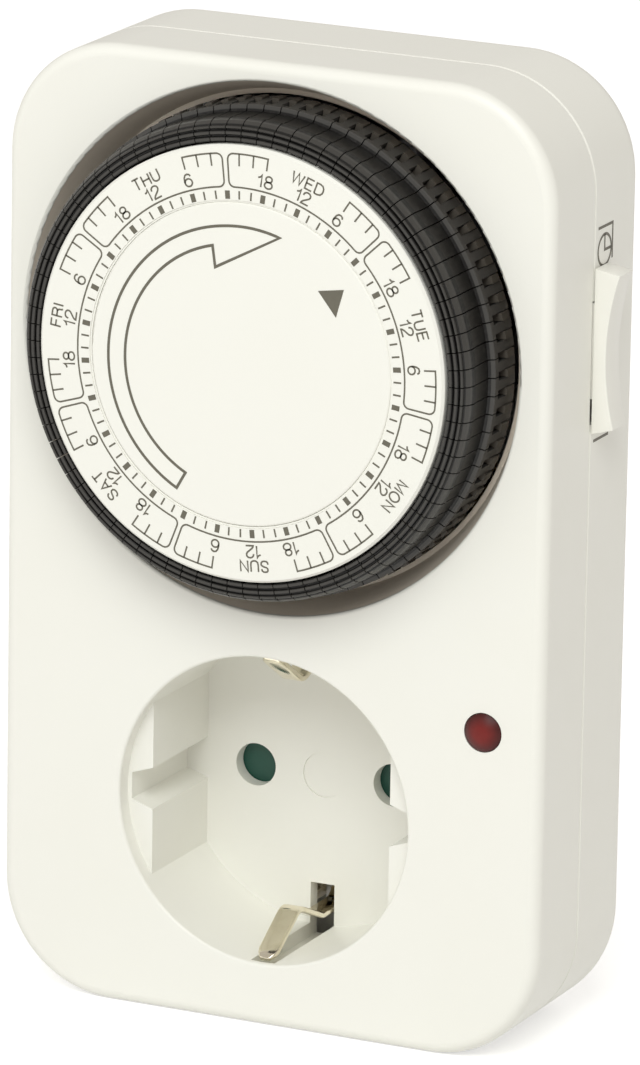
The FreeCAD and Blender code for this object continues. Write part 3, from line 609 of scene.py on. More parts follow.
class Shape:
    """Points and faces of one piece while it is built."""

    def __init__(self, name: str) -> None:
        """Starts an empty piece."""
        self.name = name
        self.points: List[Vector] = []
        self.faces: List[Face] = []

    def loft(self, rings: Sequence[Sequence[Vector]], closed: bool = False) -> None:
        """Adds a closed skin through rings that have as many points each.

        Args:
            rings: the rings, each anticlockwise when looking back from the last to the first.
            closed: joins the last ring to the first, and otherwise each end gets a lid.
        """
        first = len(self.points)
        size = len(rings[0])
        self.points += [point for ring in rings for point in ring]
        for index in range(len(rings) if closed else len(rings) - 1):
            near = first + index * size
            far = first + (index + 1) % len(rings) * size
            self.faces += [(near + row, near + (row + 1) % size, far + (row + 1) % size, far + row)
                           for row in range(size)]
        if not closed:
            last = len(self.points) - size
            self.faces.append(tuple(first + row for row in reversed(range(size))))
            self.faces.append(tuple(last + row for row in range(size)))

    def spin(self, profile: Sequence[Point], axis: DialAxis, steps: int) -> None:
        """Adds a ring about the dial's axis.

        Args:
            profile: its (radius, depth) outline, outwards at the front and inwards at the back.
            axis: the dial's axis.
            steps: how many sectors it has.
        """
        angles = [2 * math.pi * step / steps for step in range(steps)]
        self.loft([[axis.at(radius, depth, angle) for radius, depth in profile]
                   for angle in angles], True)

    def object(self, material: bpy.types.Material) -> bpy.types.Object:
        """Makes the piece with its finish."""
        return new_piece(self.name, self.points, self.faces, material)


@dataclass
class Housing:
    """Both halves of the case, its screws and the marks beside the side switch."""

    plastic: MouldedPlastic = MouldedPlastic((0.875, 0.868, 0.805), (0.845, 0.833, 0.750))
    screw_steel: SheetMetal = SheetMetal((0.56, 0.56, 0.57), (0.40, 0.39, 0.37), 0.3)
    clock_depth: float = 15.2 * MM
    clock_height: float = 72.35 * MM
    clock_radius: float = 1.95 * MM
    clock_step: float = 10.0
    line_width: float = 0.36 * MM
    frame_front: float = 13.2 * MM
    frame_back: float = 17.5 * MM
    frame_top: float = 75.3 * MM
    frame_low: float = 70.9 * MM
    lower_top: float = 53.0 * MM
    lower_bottom: float = 48.9 * MM
    lower_gap: float = 0.7 * MM

    def build(self, ink: bpy.types.Material) -> None:
        """Dresses the case and prints the side marks."""
        dress(self.plastic.material("housing_plastic"), "front_housing", "back_housing")
        dress(self.screw_steel.material("screw_steel"), "housing_screws", "movement_screws")
        low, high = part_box("front_housing")
        marks = Ribbon("side_marks")
        self.clock(marks)
        self.lower_mark(marks)
        print_object = marks.object(facing_right(high.x + PRINT_LIFT, low.y, 0.0), ink)
        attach(print_object, "housing")

    def clock(self, marks: Ribbon) -> None:
        """A round clock with two hands, under an open bracket."""
        centre = (self.clock_depth, self.clock_height)
        radius = self.clock_radius
        marks.stroke(arc(radius, 0, 360, self.clock_step, centre)[:-1], self.line_width, True)
        marks.stroke([(centre[0], centre[1] + radius), centre, (centre[0] + radius, centre[1])],
                     self.line_width)
        marks.stroke([(self.frame_front, self.frame_top), (self.frame_back, self.frame_top),
                      (self.frame_back, self.frame_low)], self.line_width)

    def lower_mark(self, marks: Ribbon) -> None:
        """A plain bar in a bracket, for always on."""
        marks.stroke([(self.frame_front, self.lower_bottom), (self.frame_back, self.lower_bottom),
                      (self.frame_back, self.lower_top)], self.line_width)
        marks.stroke([(self.clock_depth, self.lower_bottom + self.lower_gap),
                      (self.clock_depth, self.lower_top)], self.line_width)


@dataclass
class DialFace:
    """Printed scale ring and the fixed disc with the arrow."""

    plastic: MouldedPlastic = MouldedPlastic((0.875, 0.868, 0.805), (0.85, 0.84, 0.765), 0.52)
    days: Tuple[str, ...] = ("WED", "TUE", "MON", "SUN", "SAT", "FRI", "THU")
    midnight: float = 95.4
    tick_inner: float = 20.42 * MM
    tick_outer: float = 21.45 * MM
    tick_width: float = 0.22 * MM
    block_width: float = 0.64 * MM
    line_width: float = 0.21 * MM
    ring_line: float = 21.9 * MM
    bracket_line: float = 26.0 * MM
    bracket_tick: float = 24.5 * MM
    bracket_corner: float = 0.75 * MM
    bracket_gap: float = 0.31 * MM
    number_radius: float = 23.15 * MM
    number_height: float = 1.72 * MM
    day_radius: float = 24.95 * MM
    day_height: float = 1.58 * MM
    letter_line: float = 0.21 * MM
    arrow_width: float = 0.36 * MM
    arrow_outer: Tuple[Point, ...] = ((72.8, 17.07 * MM), (98.0, 17.12 * MM), (182.0, 17.74 * MM),
                                      (243.2, 18.35 * MM))
    arrow_inner: Tuple[Point, ...] = ((105.1, 14.89 * MM), (181.0, 15.47 * MM),
                                      (243.6, 15.99 * MM))
    arrow_notch: Point = (-3.48 * MM, 11.74 * MM)
    arrow_step: float = 2.0
    pointer: Tuple[Point, ...] = ((10.23 * MM, 10.43 * MM), (13.67 * MM, 10.96 * MM),
                                  (12.67 * MM, 7.40 * MM))
    hours_per_day: int = 24
    tick_hours: int = 2
    block_every: int = 3
    bracket_hours: int = 6
    corner_step: float = 15.0
    lap_inner: float = 20.07 * MM
    lap_outer: float = 20.28 * MM
    lap_depth: float = 0.12 * MM
    lap_height: float = 0.8 * MM
    lap_steps: int = 180

    def build(self, ink: bpy.types.Material) -> None:
        """Dresses the two discs and prints them."""
        white = self.plastic.material("dial_plastic")
        dress(white, "scale_ring", "centre_disc")
        low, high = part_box("scale_ring")
        middle = (low + high) / 2
        to_space = facing_user(middle.x, low.y - PRINT_LIFT, middle.z)
        ring = Ribbon("scale_print")
        self.print_ticks(ring)
        for index, day in enumerate(self.days):
            self.print_day(ring, day, self.midnight - index * 360.0 / len(self.days))
        ring_print = ring.object(to_space, ink)
        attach(ring_print, "dial")
        self.add_lap(DialAxis(middle, low.y), white)
        disc = Ribbon("arrow_print")
        self.print_arrow(disc)
        disc_print = disc.object(to_space, ink)
        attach(disc_print, "housing")
        log.info("scale print has %d faces", len(ring_print.data.polygons))

    def add_lap(self, axis: DialAxis, white: bpy.types.Material) -> None:
        """Low lip of the scale ring, in its white, that fills the gap round the fixed disc."""
        bottom = self.lap_depth + self.lap_height
        shape = Shape("scale_lap")
        shape.spin([(self.lap_inner, self.lap_depth), (self.lap_outer, self.lap_depth),
                    (self.lap_outer, bottom), (self.lap_inner, bottom)], axis, self.lap_steps)
        lap = shape.object(white)
        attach(lap, "dial")

    def day_angle(self) -> float:
        """Angle of one day in degrees."""
        return 360.0 / len(self.days)

    def print_ticks(self, ring: Ribbon) -> None:
        """A tick every two hours and a block every six."""
        ticks_per_day = self.hours_per_day // self.tick_hours
        count = ticks_per_day * len(self.days)
        for index in range(count):
            angle = self.midnight + index * 360.0 / count
            width = self.block_width if index % self.block_every == 0 else self.tick_width
            ring.stroke([polar(self.tick_inner, angle), polar(self.tick_outer, angle)], width)

    def corner(self, radius: float, side_angle: float, outward: float, turn: float) -> List[Point]:
        """Round corner between an arc of the ring and a line beside midnight.

        Args:
            radius: the arc's radius.
            side_angle: angle of the line beside midnight.
            outward: 1 where the line leaves outwards from the arc, and -1 inwards.
            turn: 1 where the bracket lies anticlockwise of the line, and -1 clockwise.

        Returns:
            The corner's points, from the arc to the line.
        """
        size = self.bracket_corner
        middle = radius + outward * size
        centre = polar(middle, side_angle + turn * math.degrees(size / middle))
        radial = side_angle + (180.0 if outward > 0 else 0.0)
        sweep = 90.0 * outward * turn
        return arc(size, radial, radial + sweep, self.corner_step, centre)

    def print_day(self, ring: Ribbon, day: str, start: float) -> None:
        """Everything between two midnights.

        Args:
            ring: the print.
            day: the day's name.
            start: angle of the midnight that lies anticlockwise.
        """
        per_hour = self.day_angle() / self.hours_per_day
        end = start - self.day_angle()
        gap = math.degrees(self.bracket_gap / self.ring_line)
        outer_turn = math.degrees(self.bracket_corner / self.bracket_line)
        inner_turn = math.degrees(self.bracket_corner / self.ring_line)
        evening = start - self.bracket_hours * per_hour
        morning = end + self.bracket_hours * per_hour
        left = start - gap
        right = end + gap
        path = [polar(self.bracket_tick, evening)]
        path += arc(self.bracket_line, evening, left - outer_turn)
        path += self.corner(self.bracket_line, left, -1, -1)
        path += list(reversed(self.corner(self.ring_line, left, 1, -1)))
        path += arc(self.ring_line, left - inner_turn, right + inner_turn)
        path += self.corner(self.ring_line, right, 1, 1)
        path += list(reversed(self.corner(self.bracket_line, right, -1, 1)))
        path += arc(self.bracket_line, right + outer_turn, morning)
        path.append(polar(self.bracket_tick, morning))
        ring.stroke(path, self.line_width)
        for hours in range(self.tick_hours, self.bracket_hours, self.tick_hours):
            for angle in (start - hours * per_hour, end + hours * per_hour):
                ring.stroke([polar(self.bracket_tick, angle), polar(self.bracket_line, angle)],
                            self.line_width)
        noon = start - self.day_angle() / 2
        for words, angle in (("18", evening), ("12", noon), ("6", morning)):
            ring.text(words, polar(self.number_radius, angle), angle, self.number_height,
                      self.letter_line)
        ring.text(day, polar(self.day_radius, noon), noon, self.day_height, self.letter_line)

    def spiral(self, stations: Sequence[Point]) -> List[Point]:
        """Line through (angle, radius) stations, with the radius changing evenly between them."""
        points = []
        for (start, near), (end, far) in zip(stations, stations[1:]):
            count = math.ceil((end - start) / self.arrow_step)
            for index in range(count):
                share = index / count
                points.append(polar(near + (far - near) * share, start + (end - start) * share))
        points.append(polar(stations[-1][1], stations[-1][0]))
        return points

    def print_arrow(self, disc: Ribbon) -> None:
        """Outlined arrow that shows which way the dial turns, and the filled pointer."""
        outer = self.spiral(self.arrow_outer)
        inner = self.spiral(self.arrow_inner)
        disc.stroke(list(reversed(outer)) + [self.arrow_notch] + inner, self.arrow_width, True)
        disc.polygon(self.pointer)


@dataclass(frozen=True)
class TappetPlastic:
    """Black plastic with a painted sheen on its grip ridges and shoulder, a painted highlight on
    its flange, painted shade in its grooves and on its walls, and random scuffs.

    The places of ridges, shoulder and flange are radii in millimetres.
    """

    # Painted light: the first colour is painted shade in grooves and on walls, the second is
    # painted sheen on ridges and shoulder and also the random scuffs' colour, the third is a
    # painted highlight on the flange.
    painted_shade_black: Colour = (0.006, 0.0055, 0.005)
    painted_sheen_and_scuff: Colour = (0.050, 0.047, 0.042)
    painted_flange_highlight: Colour = (0.062, 0.059, 0.054)
    start: float = 27.0 * MM
    span: float = 4.0 * MM
    roughness: float = 0.36
    ridges: Tuple[float, ...] = (27.62, 28.36, 29.02)
    ridge_half: float = 0.26
    ridge_top: Tuple[float, float] = (-0.08, 0.10)
    shoulder: Tuple[float, float] = (29.32, 29.86)
    shoulder_fade: Tuple[float, float] = (0.15, 0.05)
    flange_from: float = 30.12
    flange_fade: float = 0.08
    scuff: Mottle = Mottle(0.0007, 3.0, 0.65)
    scuff_steepness: float = 2.6
    scuff_share: float = 0.55
    scuff_gloss: float = 0.12
    dust: Mottle = Mottle(0.0045)
    dust_gloss: float = 0.22
    grit: Mottle = Mottle(0.0004, 2.0, 0.6)
    grit_depth: float = 0.000006
    specular: float = 0.32

    def stops(self) -> List[Tuple[float, Colour]]:
        """Ramp over the radius, from painted shade in the grooves to painted sheen on the ridges
        and a painted highlight on the flange.
        """
        low = self.start / MM
        begin, end = self.shoulder
        fade_in, fade_out = self.shoulder_fade
        stops = [(low, self.painted_shade_black)]
        for ridge in self.ridges:
            stops += [(ridge - self.ridge_half, self.painted_shade_black),
                      (ridge + self.ridge_top[0], self.painted_sheen_and_scuff),
                      (ridge + self.ridge_top[1], self.painted_sheen_and_scuff),
                      (ridge + self.ridge_half, self.painted_shade_black)]
        stops += [(begin, self.painted_shade_black), (begin + fade_in, self.painted_sheen_and_scuff),
                  (end - fade_out, self.painted_sheen_and_scuff), (end, self.painted_shade_black),
                  (self.flange_from, self.painted_shade_black), (self.flange_from + self.flange_fade, self.painted_flange_highlight)]
        return [((place - low) / (self.span / MM), colour) for place, colour in stops]

    def material(self, name: str, middle: Vector) -> bpy.types.Material:
        """Finish around the dial's axis, with painted sheen, painted highlight and painted shade
        set by the radius.
        """
        graph = Graph(name)
        away = graph.node("ShaderNodeVectorMath", {"operation": "SUBTRACT"},
                          {0: graph.place(), 1: tuple(middle)})
        flat = graph.node("ShaderNodeVectorMath", {"operation": "MULTIPLY"},
                          {0: away, 1: (1.0, 0.0, 1.0)})
        radius = graph.node("ShaderNodeVectorMath", {"operation": "LENGTH"}, {0: flat}, "Value")
        # Painted shade and painted sheen by radius from the dial's axis.
        painted_light_by_radius = graph.node("ShaderNodeValToRGB", {"stops": self.stops()},
                          {0: (radius - self.start) / self.span})
        scuff = graph.noise(self.scuff)
        dust = graph.noise(self.dust)
        share = scuff.rising(NOISE_MIDDLE, self.scuff_steepness) * self.scuff_share
        # Random scuffs lift the painted light towards the sheen colour.
        painted_light_and_scuffs = graph.mix(share, painted_light_by_radius, self.painted_sheen_and_scuff)
        rough = self.roughness + dust.swing(self.dust_gloss) + scuff.swing(self.scuff_gloss)
        return graph.surface(Base_Color=painted_light_and_scuffs, Roughness=rough, Specular_IOR_Level=self.specular,
                             Normal=graph.bump(graph.noise(self.grit), self.grit_depth))


@dataclass
class TappetRing:
    """Notched wheel, its black push tappets and the drawn-in wall of the dial's opening, the wheel
    and the wall darkened as painted shade.

    The tappets' profile is a list of (radius, depth) in millimetres, and shift is in degrees.
    """

    # The wheel's dark brown-grey is painted shade for the hollow behind the tappets.
    wheel: MouldedPlastic = MouldedPlastic((0.080, 0.070, 0.057), (0.055, 0.048, 0.038), 0.4)
    # The well is the case's white, darkened and warmed as painted shade.
    well: MouldedPlastic = MouldedPlastic((0.84, 0.75, 0.63), (0.78, 0.69, 0.57), 0.5)
    black: TappetPlastic = field(default_factory=TappetPlastic)
    days: Tuple[str, ...] = ("monday", "tuesday", "wednesday", "thursday", "friday", "saturday",
                             "sunday")
    per_day: int = 12
    shift: float = 1.114
    gap: float = 0.15 * MM
    gap_radius: float = 30.4 * MM
    slices: int = 3
    profile: Tuple[Point, ...] = (
        (27.30, -6.9), (27.32, -7.45), (27.42, -7.62), (27.80, -7.62), (27.90, -7.50),
        (27.94, -7.22), (28.06, -7.22), (28.12, -7.44), (28.22, -7.56), (28.58, -7.56),
        (28.66, -7.44), (28.70, -7.12), (28.80, -7.12), (28.86, -7.32), (28.94, -7.42),
        (29.12, -7.40), (29.20, -7.26), (29.22, -6.96), (29.32, -6.94), (29.46, -6.92),
        (29.74, -6.45), (29.90, -5.80), (29.95, -5.15), (29.84, -5.05), (29.88, -1.55),
        (30.02, -1.36), (30.56, -1.20), (30.65, -1.08), (30.65, -0.20), (28.90, -0.20),
        (28.40, -5.0), (27.30, -6.2))
    leg_inner: float = 29.72 * MM
    leg_outer: float = 30.60 * MM
    leg_width: float = 1.15 * MM
    leg_top: float = -0.2 * MM
    leg_end: float = 4.6 * MM
    wheel_edge: float = 30.85 * MM
    turned_beyond: float = 28.0 * MM
    well_profile: Tuple[Point, ...] = ((33.17 * MM, 0.45 * MM), (33.17 * MM, 5.9 * MM),
                                       (30.78 * MM, 5.9 * MM), (30.78 * MM, 5.4 * MM),
                                       (31.4 * MM, 5.35 * MM))
    well_steps: int = 160

    def build(self) -> None:
        """Makes the tappets, the wheel and the wall around them."""
        low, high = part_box("scale_ring")
        middle = (low + high) / 2
        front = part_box("front_housing")[0].y
        axis = DialAxis(middle, front)
        black = self.black.material("tappet_black_painted_light", middle)
        for index, day in enumerate(self.days):
            self.add_day(index, day, axis, black)
        self.add_wheel(middle)
        shape = Shape("dial_well")
        shape.spin(self.well_profile, axis, self.well_steps)
        # Its darker, warmer white is painted shade.
        well = shape.object(self.well.material("well_painted_shade"))
        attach(well, "housing")
        log.info("dial well has %d faces", len(well.data.polygons))

    def add_day(self, index: int, day: str, axis: DialAxis, black: bpy.types.Material) -> None:
        """Makes one day's tappets.

        Args:
            index: the day's place in the week.
            day: its name.
            axis: the dial's axis, from the case's front face.
            black: the tappets' finish.
        """
        pitch = 360.0 / (self.per_day * len(self.days))
        shape = Shape(f"push_tappets_{day}")
        for step in range(self.per_day):
            place = (index * self.per_day + step + 0.5) * pitch + self.shift
            shape.loft(self.head(place, pitch, axis))
            shape.loft(self.leg(place, axis))
        group = shape.object(black)
        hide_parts(f"tappets_{day}")
        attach(group, f"tappets_{day}")
        log.info("%s has %d faces", group.name, len(group.data.polygons))

    def head(self, place: float, pitch: float, axis: DialAxis) -> List[List[Vector]]:
        """Outlines of one ridged head, from its clockwise side to the other.

        Args:
            place: the tappet's angle in degrees.
            pitch: angle from one tappet to the next.
            axis: the dial's axis.

        Returns:
            The outlines.
        """
        half = (pitch - math.degrees(self.gap / self.gap_radius)) / 2
        angles = [math.radians(place - half + 2 * half * station / self.slices)
                  for station in range(self.slices + 1)]
        return [[axis.at(radius * MM, depth * MM, angle) for radius, depth in self.profile]
                for angle in angles]

    def leg(self, place: float, axis: DialAxis) -> List[List[Vector]]:
        """Outlines of the leg that goes through the wheel, from its end to its root.

        Args:
            place: the tappet's angle in degrees.
            axis: the dial's axis.

        Returns:
            The outlines.
        """
        out = Vector((math.cos(math.radians(place)), 0.0, math.sin(math.radians(place))))
        across = Vector((-out.z, 0.0, out.x)) * (self.leg_width / 2)
        corners = ((self.leg_inner, -1), (self.leg_outer, -1), (self.leg_outer, 1),
                   (self.leg_inner, 1))
        centre = Vector((axis.middle.x, axis.front, axis.middle.z))
        return [[centre + out * radius + across * side + Vector((0.0, depth, 0.0))
                 for radius, side in corners] for depth in (self.leg_end, self.leg_top)]

    def add_wheel(self, middle: Vector) -> None:
        """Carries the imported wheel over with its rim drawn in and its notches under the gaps."""
        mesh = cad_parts["dial_wheel"].data.copy()
        for vertex in mesh.vertices:
            flat = Vector((vertex.co.x - middle.x, vertex.co.z - middle.z))
            if flat.length < self.turned_beyond:
                continue
            reach = min(flat.length, self.wheel_edge)
            angle = math.atan2(flat.y, flat.x) + math.radians(self.shift)
            vertex.co.x = middle.x + reach * math.cos(angle)
            vertex.co.z = middle.z + reach * math.sin(angle)
        mesh.materials.clear()
        # Dark finish: painted shade.
        mesh.materials.append(self.wheel.material("wheel_painted_shade"))
        wheel = bpy.data.objects.new("notched_wheel", mesh)
        bpy.context.scene.collection.objects.link(wheel)
        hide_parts("dial_wheel")
        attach(wheel, "dial")


@dataclass
class EarthStrip:
    """Earth springs of the socket, bent from one strip with rounded edges and narrowed ends."""

    half_width: float = 1.4 * MM
    thickness: float = 0.74 * MM
    edge: float = 0.26 * MM
    bend: float = 2.3 * MM
    tip_length: float = 1.5 * MM
    tip_share: float = 0.5
    tip_thickness: float = 0.55
    tip_stations: Tuple[float, ...] = (0.12, 0.3, 0.55, 1.0)
    edge_limit: float = 0.95
    edge_step: float = 30.0
    bend_steps: int = 10
    path: Tuple[Point, ...] = ((1.5 * MM, 19.45 * MM), (8.85 * MM, 14.75 * MM),
                               (15.7 * MM, 17.63 * MM), (24.0 * MM, 17.63 * MM))

    def corners(self) -> List[Point]:
        """The whole path, as (depth, height) from one spring to the other."""
        lower = [(depth, -height) for depth, height in reversed(self.path)]
        return list(self.path) + lower

    def rounded(self) -> List[Vector]:
        """Path with a round bend at each corner, and stations near both ends."""
        corners = [Vector(corner) for corner in self.corners()]
        spots = [corners[0]]
        run = (corners[1] - corners[0]).normalized()
        spots += [corners[0] + run * self.tip_length * share for share in self.tip_stations]
        for before, corner, after in zip(corners, corners[1:], corners[2:]):
            into = (corner - before).normalized()
            out = (after - corner).normalized()
            turn = math.acos(max(-1.0, min(1.0, into.dot(out))))
            setback = self.bend * math.tan(turn / 2)
            centre = corner + (out - into).normalized() * (self.bend / math.cos(turn / 2))
            first = corner - into * setback - centre
            sign = 1.0 if into.x * out.y - into.y * out.x > 0 else -1.0
            for index in range(self.bend_steps + 1):
                angle = sign * turn * index / self.bend_steps
                spots.append(centre + Matrix.Rotation(angle, 2) @ first)
        run = (corners[-2] - corners[-1]).normalized()
        spots += [corners[-1] + run * self.tip_length * share
                  for share in reversed(self.tip_stations)]
        spots.append(corners[-1])
        return spots

    def section(self, share: float) -> List[Point]:
        """Rounded cross-section, as (across, through), narrowed by a share."""
        half = self.half_width * share
        thick = self.thickness / 2 * (self.tip_thickness + (1.0 - self.tip_thickness) * share)
        edge = min(self.edge, thick * self.edge_limit)
        points = []
        for quarter, (across, through) in enumerate(((1, 1), (-1, 1), (-1, -1), (1, -1))):
            centre = (across * (half - edge), through * (thick - edge))
            points += arc(edge, 90.0 * quarter, 90.0 * (quarter + 1), self.edge_step, centre)
        return points

    def build(self, metal: bpy.types.Material) -> None:
        """Sweeps the strip in place of the plain one."""
        low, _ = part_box("front_housing")
        spots = self.rounded()
        total = len(spots)
        rings: List[List[Vector]] = []
        travelled = [0.0]
        for before, spot in zip(spots, spots[1:]):
            travelled.append(travelled[-1] + (spot - before).length)
        for index, spot in enumerate(spots):
            ahead = spots[min(index + 1, total - 1)] - spots[max(index - 1, 0)]
            ahead.normalize()
            outward = Vector((-ahead.y, ahead.x))
            reach = min(travelled[index], travelled[-1] - travelled[index]) / self.tip_length
            share = self.tip_share + (1.0 - self.tip_share) * math.sin(
                min(1.0, reach) * math.pi / 2)
            ring = []
            for across, through in self.section(share):
                flat = spot + outward * through
                ring.append(Vector((across, low.y + flat.x, flat.y)))
            rings.append(ring)
        shape = Shape("earth_strip")
        shape.loft(rings[::-1])
        strip = shape.object(metal)
        for polygon in strip.data.polygons:
            polygon.use_smooth = True
        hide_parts("socket_earth_clip")
        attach(strip, "housing")
        log.info("earth strip has %d faces", len(strip.data.polygons))


@dataclass
class SocketParts:
    """Contacts, earth springs and shutter of the socket, and the plug's pins."""

    nickel: SheetMetal = SheetMetal((0.88, 0.82, 0.67), (0.68, 0.60, 0.43), 0.07, Grain.ALONG_Y)
    pin_nickel: SheetMetal = SheetMetal((0.74, 0.73, 0.70), (0.60, 0.58, 0.54), 0.16,
                                        Grain.ALONG_Y)
    brass: SheetMetal = SheetMetal((0.72, 0.52, 0.24), (0.50, 0.33, 0.14), 0.28)
    green: MouldedPlastic = MouldedPlastic((0.012, 0.075, 0.052), (0.02, 0.095, 0.07), 0.4)
    cover: MouldedPlastic = MouldedPlastic((0.66, 0.60, 0.46), (0.58, 0.51, 0.37), 0.45)

    def build(self) -> None:
        """Dresses the pieces in and behind the socket."""
        nickel = self.nickel.material("earth_spring_nickel")
        dress(nickel, "plug_earth_spring_top", "plug_earth_spring_bottom")
        EarthStrip().build(nickel)
        dress(self.pin_nickel.material("pin_nickel"), "live_plug_pin", "neutral_plug_pin")
        dress(self.brass.material("contact_brass"), "live_strap", "load_strap", "neutral_strap",
              "live_socket_sleeve", "neutral_socket_sleeve", "moving_contact")
        dress(self.green.material("shutter_green"), "child_shutter")
        dress(self.cover.material("cover_plastic"), "shutter_cover")


@dataclass
class Movement:
    """Motor, gears, levers and the plate that carries them."""

    plate: SheetMetal = SheetMetal((0.60, 0.60, 0.60), (0.46, 0.45, 0.43), 0.32, Grain.ALONG_X)
    steel: SheetMetal = SheetMetal((0.52, 0.52, 0.53), (0.36, 0.35, 0.34), 0.24, Grain.ALONG_Y)
    nylon: MouldedPlastic = MouldedPlastic((0.80, 0.77, 0.66), (0.72, 0.68, 0.56), 0.34)
    base: MouldedPlastic = MouldedPlastic((0.07, 0.07, 0.072), (0.10, 0.10, 0.10), 0.42)
    magnet: MouldedPlastic = MouldedPlastic((0.05, 0.05, 0.055), (0.09, 0.085, 0.08), 0.5)
    winding: Varnished = Varnished((0.45, 0.16, 0.05), (0.12, 0.03, 0.01))
    body: Varnished = Varnished((0.56, 0.42, 0.24), (0.50, 0.36, 0.20), 0.0016)

    def build(self) -> None:
        """Dresses what lies inside the case."""
        dress(self.plate.material("plate_steel"), "movement_plate", "motor_can", "motor_cover")
        dress(self.steel.material("shaft_steel"), "dial_post", "gear_shaft", "lever_pin",
              "shutter_spring")
        dress(self.nylon.material("gear_nylon"), "reduction_gear", "motor_pinion")
        dress(self.base.material("base_plastic"), "trip_lever", "switch_base")
        dress(self.magnet.material("rotor_magnet"), "motor_rotor")
        dress(self.winding.material("coil_winding"), "motor_coil")
        dress(self.body.material("resistor_body"), "lamp_resistor")


MERGE_DISTANCE = 1e-6
FLAT_ANGLE = math.radians(1.0)
SHARP_ANGLE = math.radians(28.0)
SMOOTH_ANGLE = math.radians(35.0)
ROUND_SEGMENTS = 3


def softened(node: str, name: str, width: float) -> bpy.types.Object:
    """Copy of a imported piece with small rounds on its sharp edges, in its place.

    Args:
        node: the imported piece.
        name: name of the copy.
        width: width of the rounds.

    Returns:
        The copy, which is not yet dressed.
    """
    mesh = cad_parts[node].data.copy()
    work = bmesh.new()
    work.from_mesh(mesh)
    bmesh.ops.remove_doubles(work, verts=work.verts, dist=MERGE_DISTANCE)
    bmesh.ops.dissolve_limit(work, angle_limit=FLAT_ANGLE, verts=work.verts, edges=work.edges)
    sharp = [edge for edge in work.edges
             if edge.is_manifold and edge.calc_face_angle() > SHARP_ANGLE]
    bmesh.ops.bevel(work, geom=sharp, offset=width, segments=ROUND_SEGMENTS, profile=0.5,
                    affect="EDGES", clamp_overlap=True)
    work.to_mesh(mesh)
    work.free()
    mesh.validate()
    made = bpy.data.objects.new(name, mesh)
    bpy.context.scene.collection.objects.link(made)
    for polygon in mesh.polygons:
        polygon.use_smooth = True
    mesh.set_sharp_from_angle(angle=SMOOTH_ANGLE)
    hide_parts(node)
    return made


@dataclass
class SideParts:
    """The side switch and the lamp."""

    slider: MouldedPlastic = MouldedPlastic((0.87, 0.86, 0.795), (0.84, 0.825, 0.74), 0.34)
    slider_round: float = 0.3 * MM
    lens: LampLens = field(default_factory=LampLens)
    lens_radius_share: float = 0.36
    bulb: MouldedPlastic = MouldedPlastic((0.75, 0.55, 0.45), (0.65, 0.42, 0.32), 0.1, coat=0.8)

    def build(self) -> None:
        """Dresses the slider, the lens and the bulb behind it."""
        slider = softened("side_switch", "side_slider", self.slider_round)
        slider.data.materials.clear()
        slider.data.materials.append(self.slider.material("slider_plastic"))
        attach(slider, "side_switch")
        log.info("side slider has %d faces", len(slider.data.polygons))
        low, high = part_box("lamp_lens")
        middle = (low + high) / 2
        front = Vector((middle.x, low.y, middle.z))
        radius = (high.x - low.x) * self.lens_radius_share
        dress(self.lens.material("lens_red", front, radius), "lamp_lens")
        dress(self.bulb.material("bulb_glass"), "neon_bulb")


@dataclass(frozen=True)
class Lamp:
    """Soft square lamp: its place, its side in metres and its power in watts."""

    name: str
    spot: Triple
    size: float
    power: float


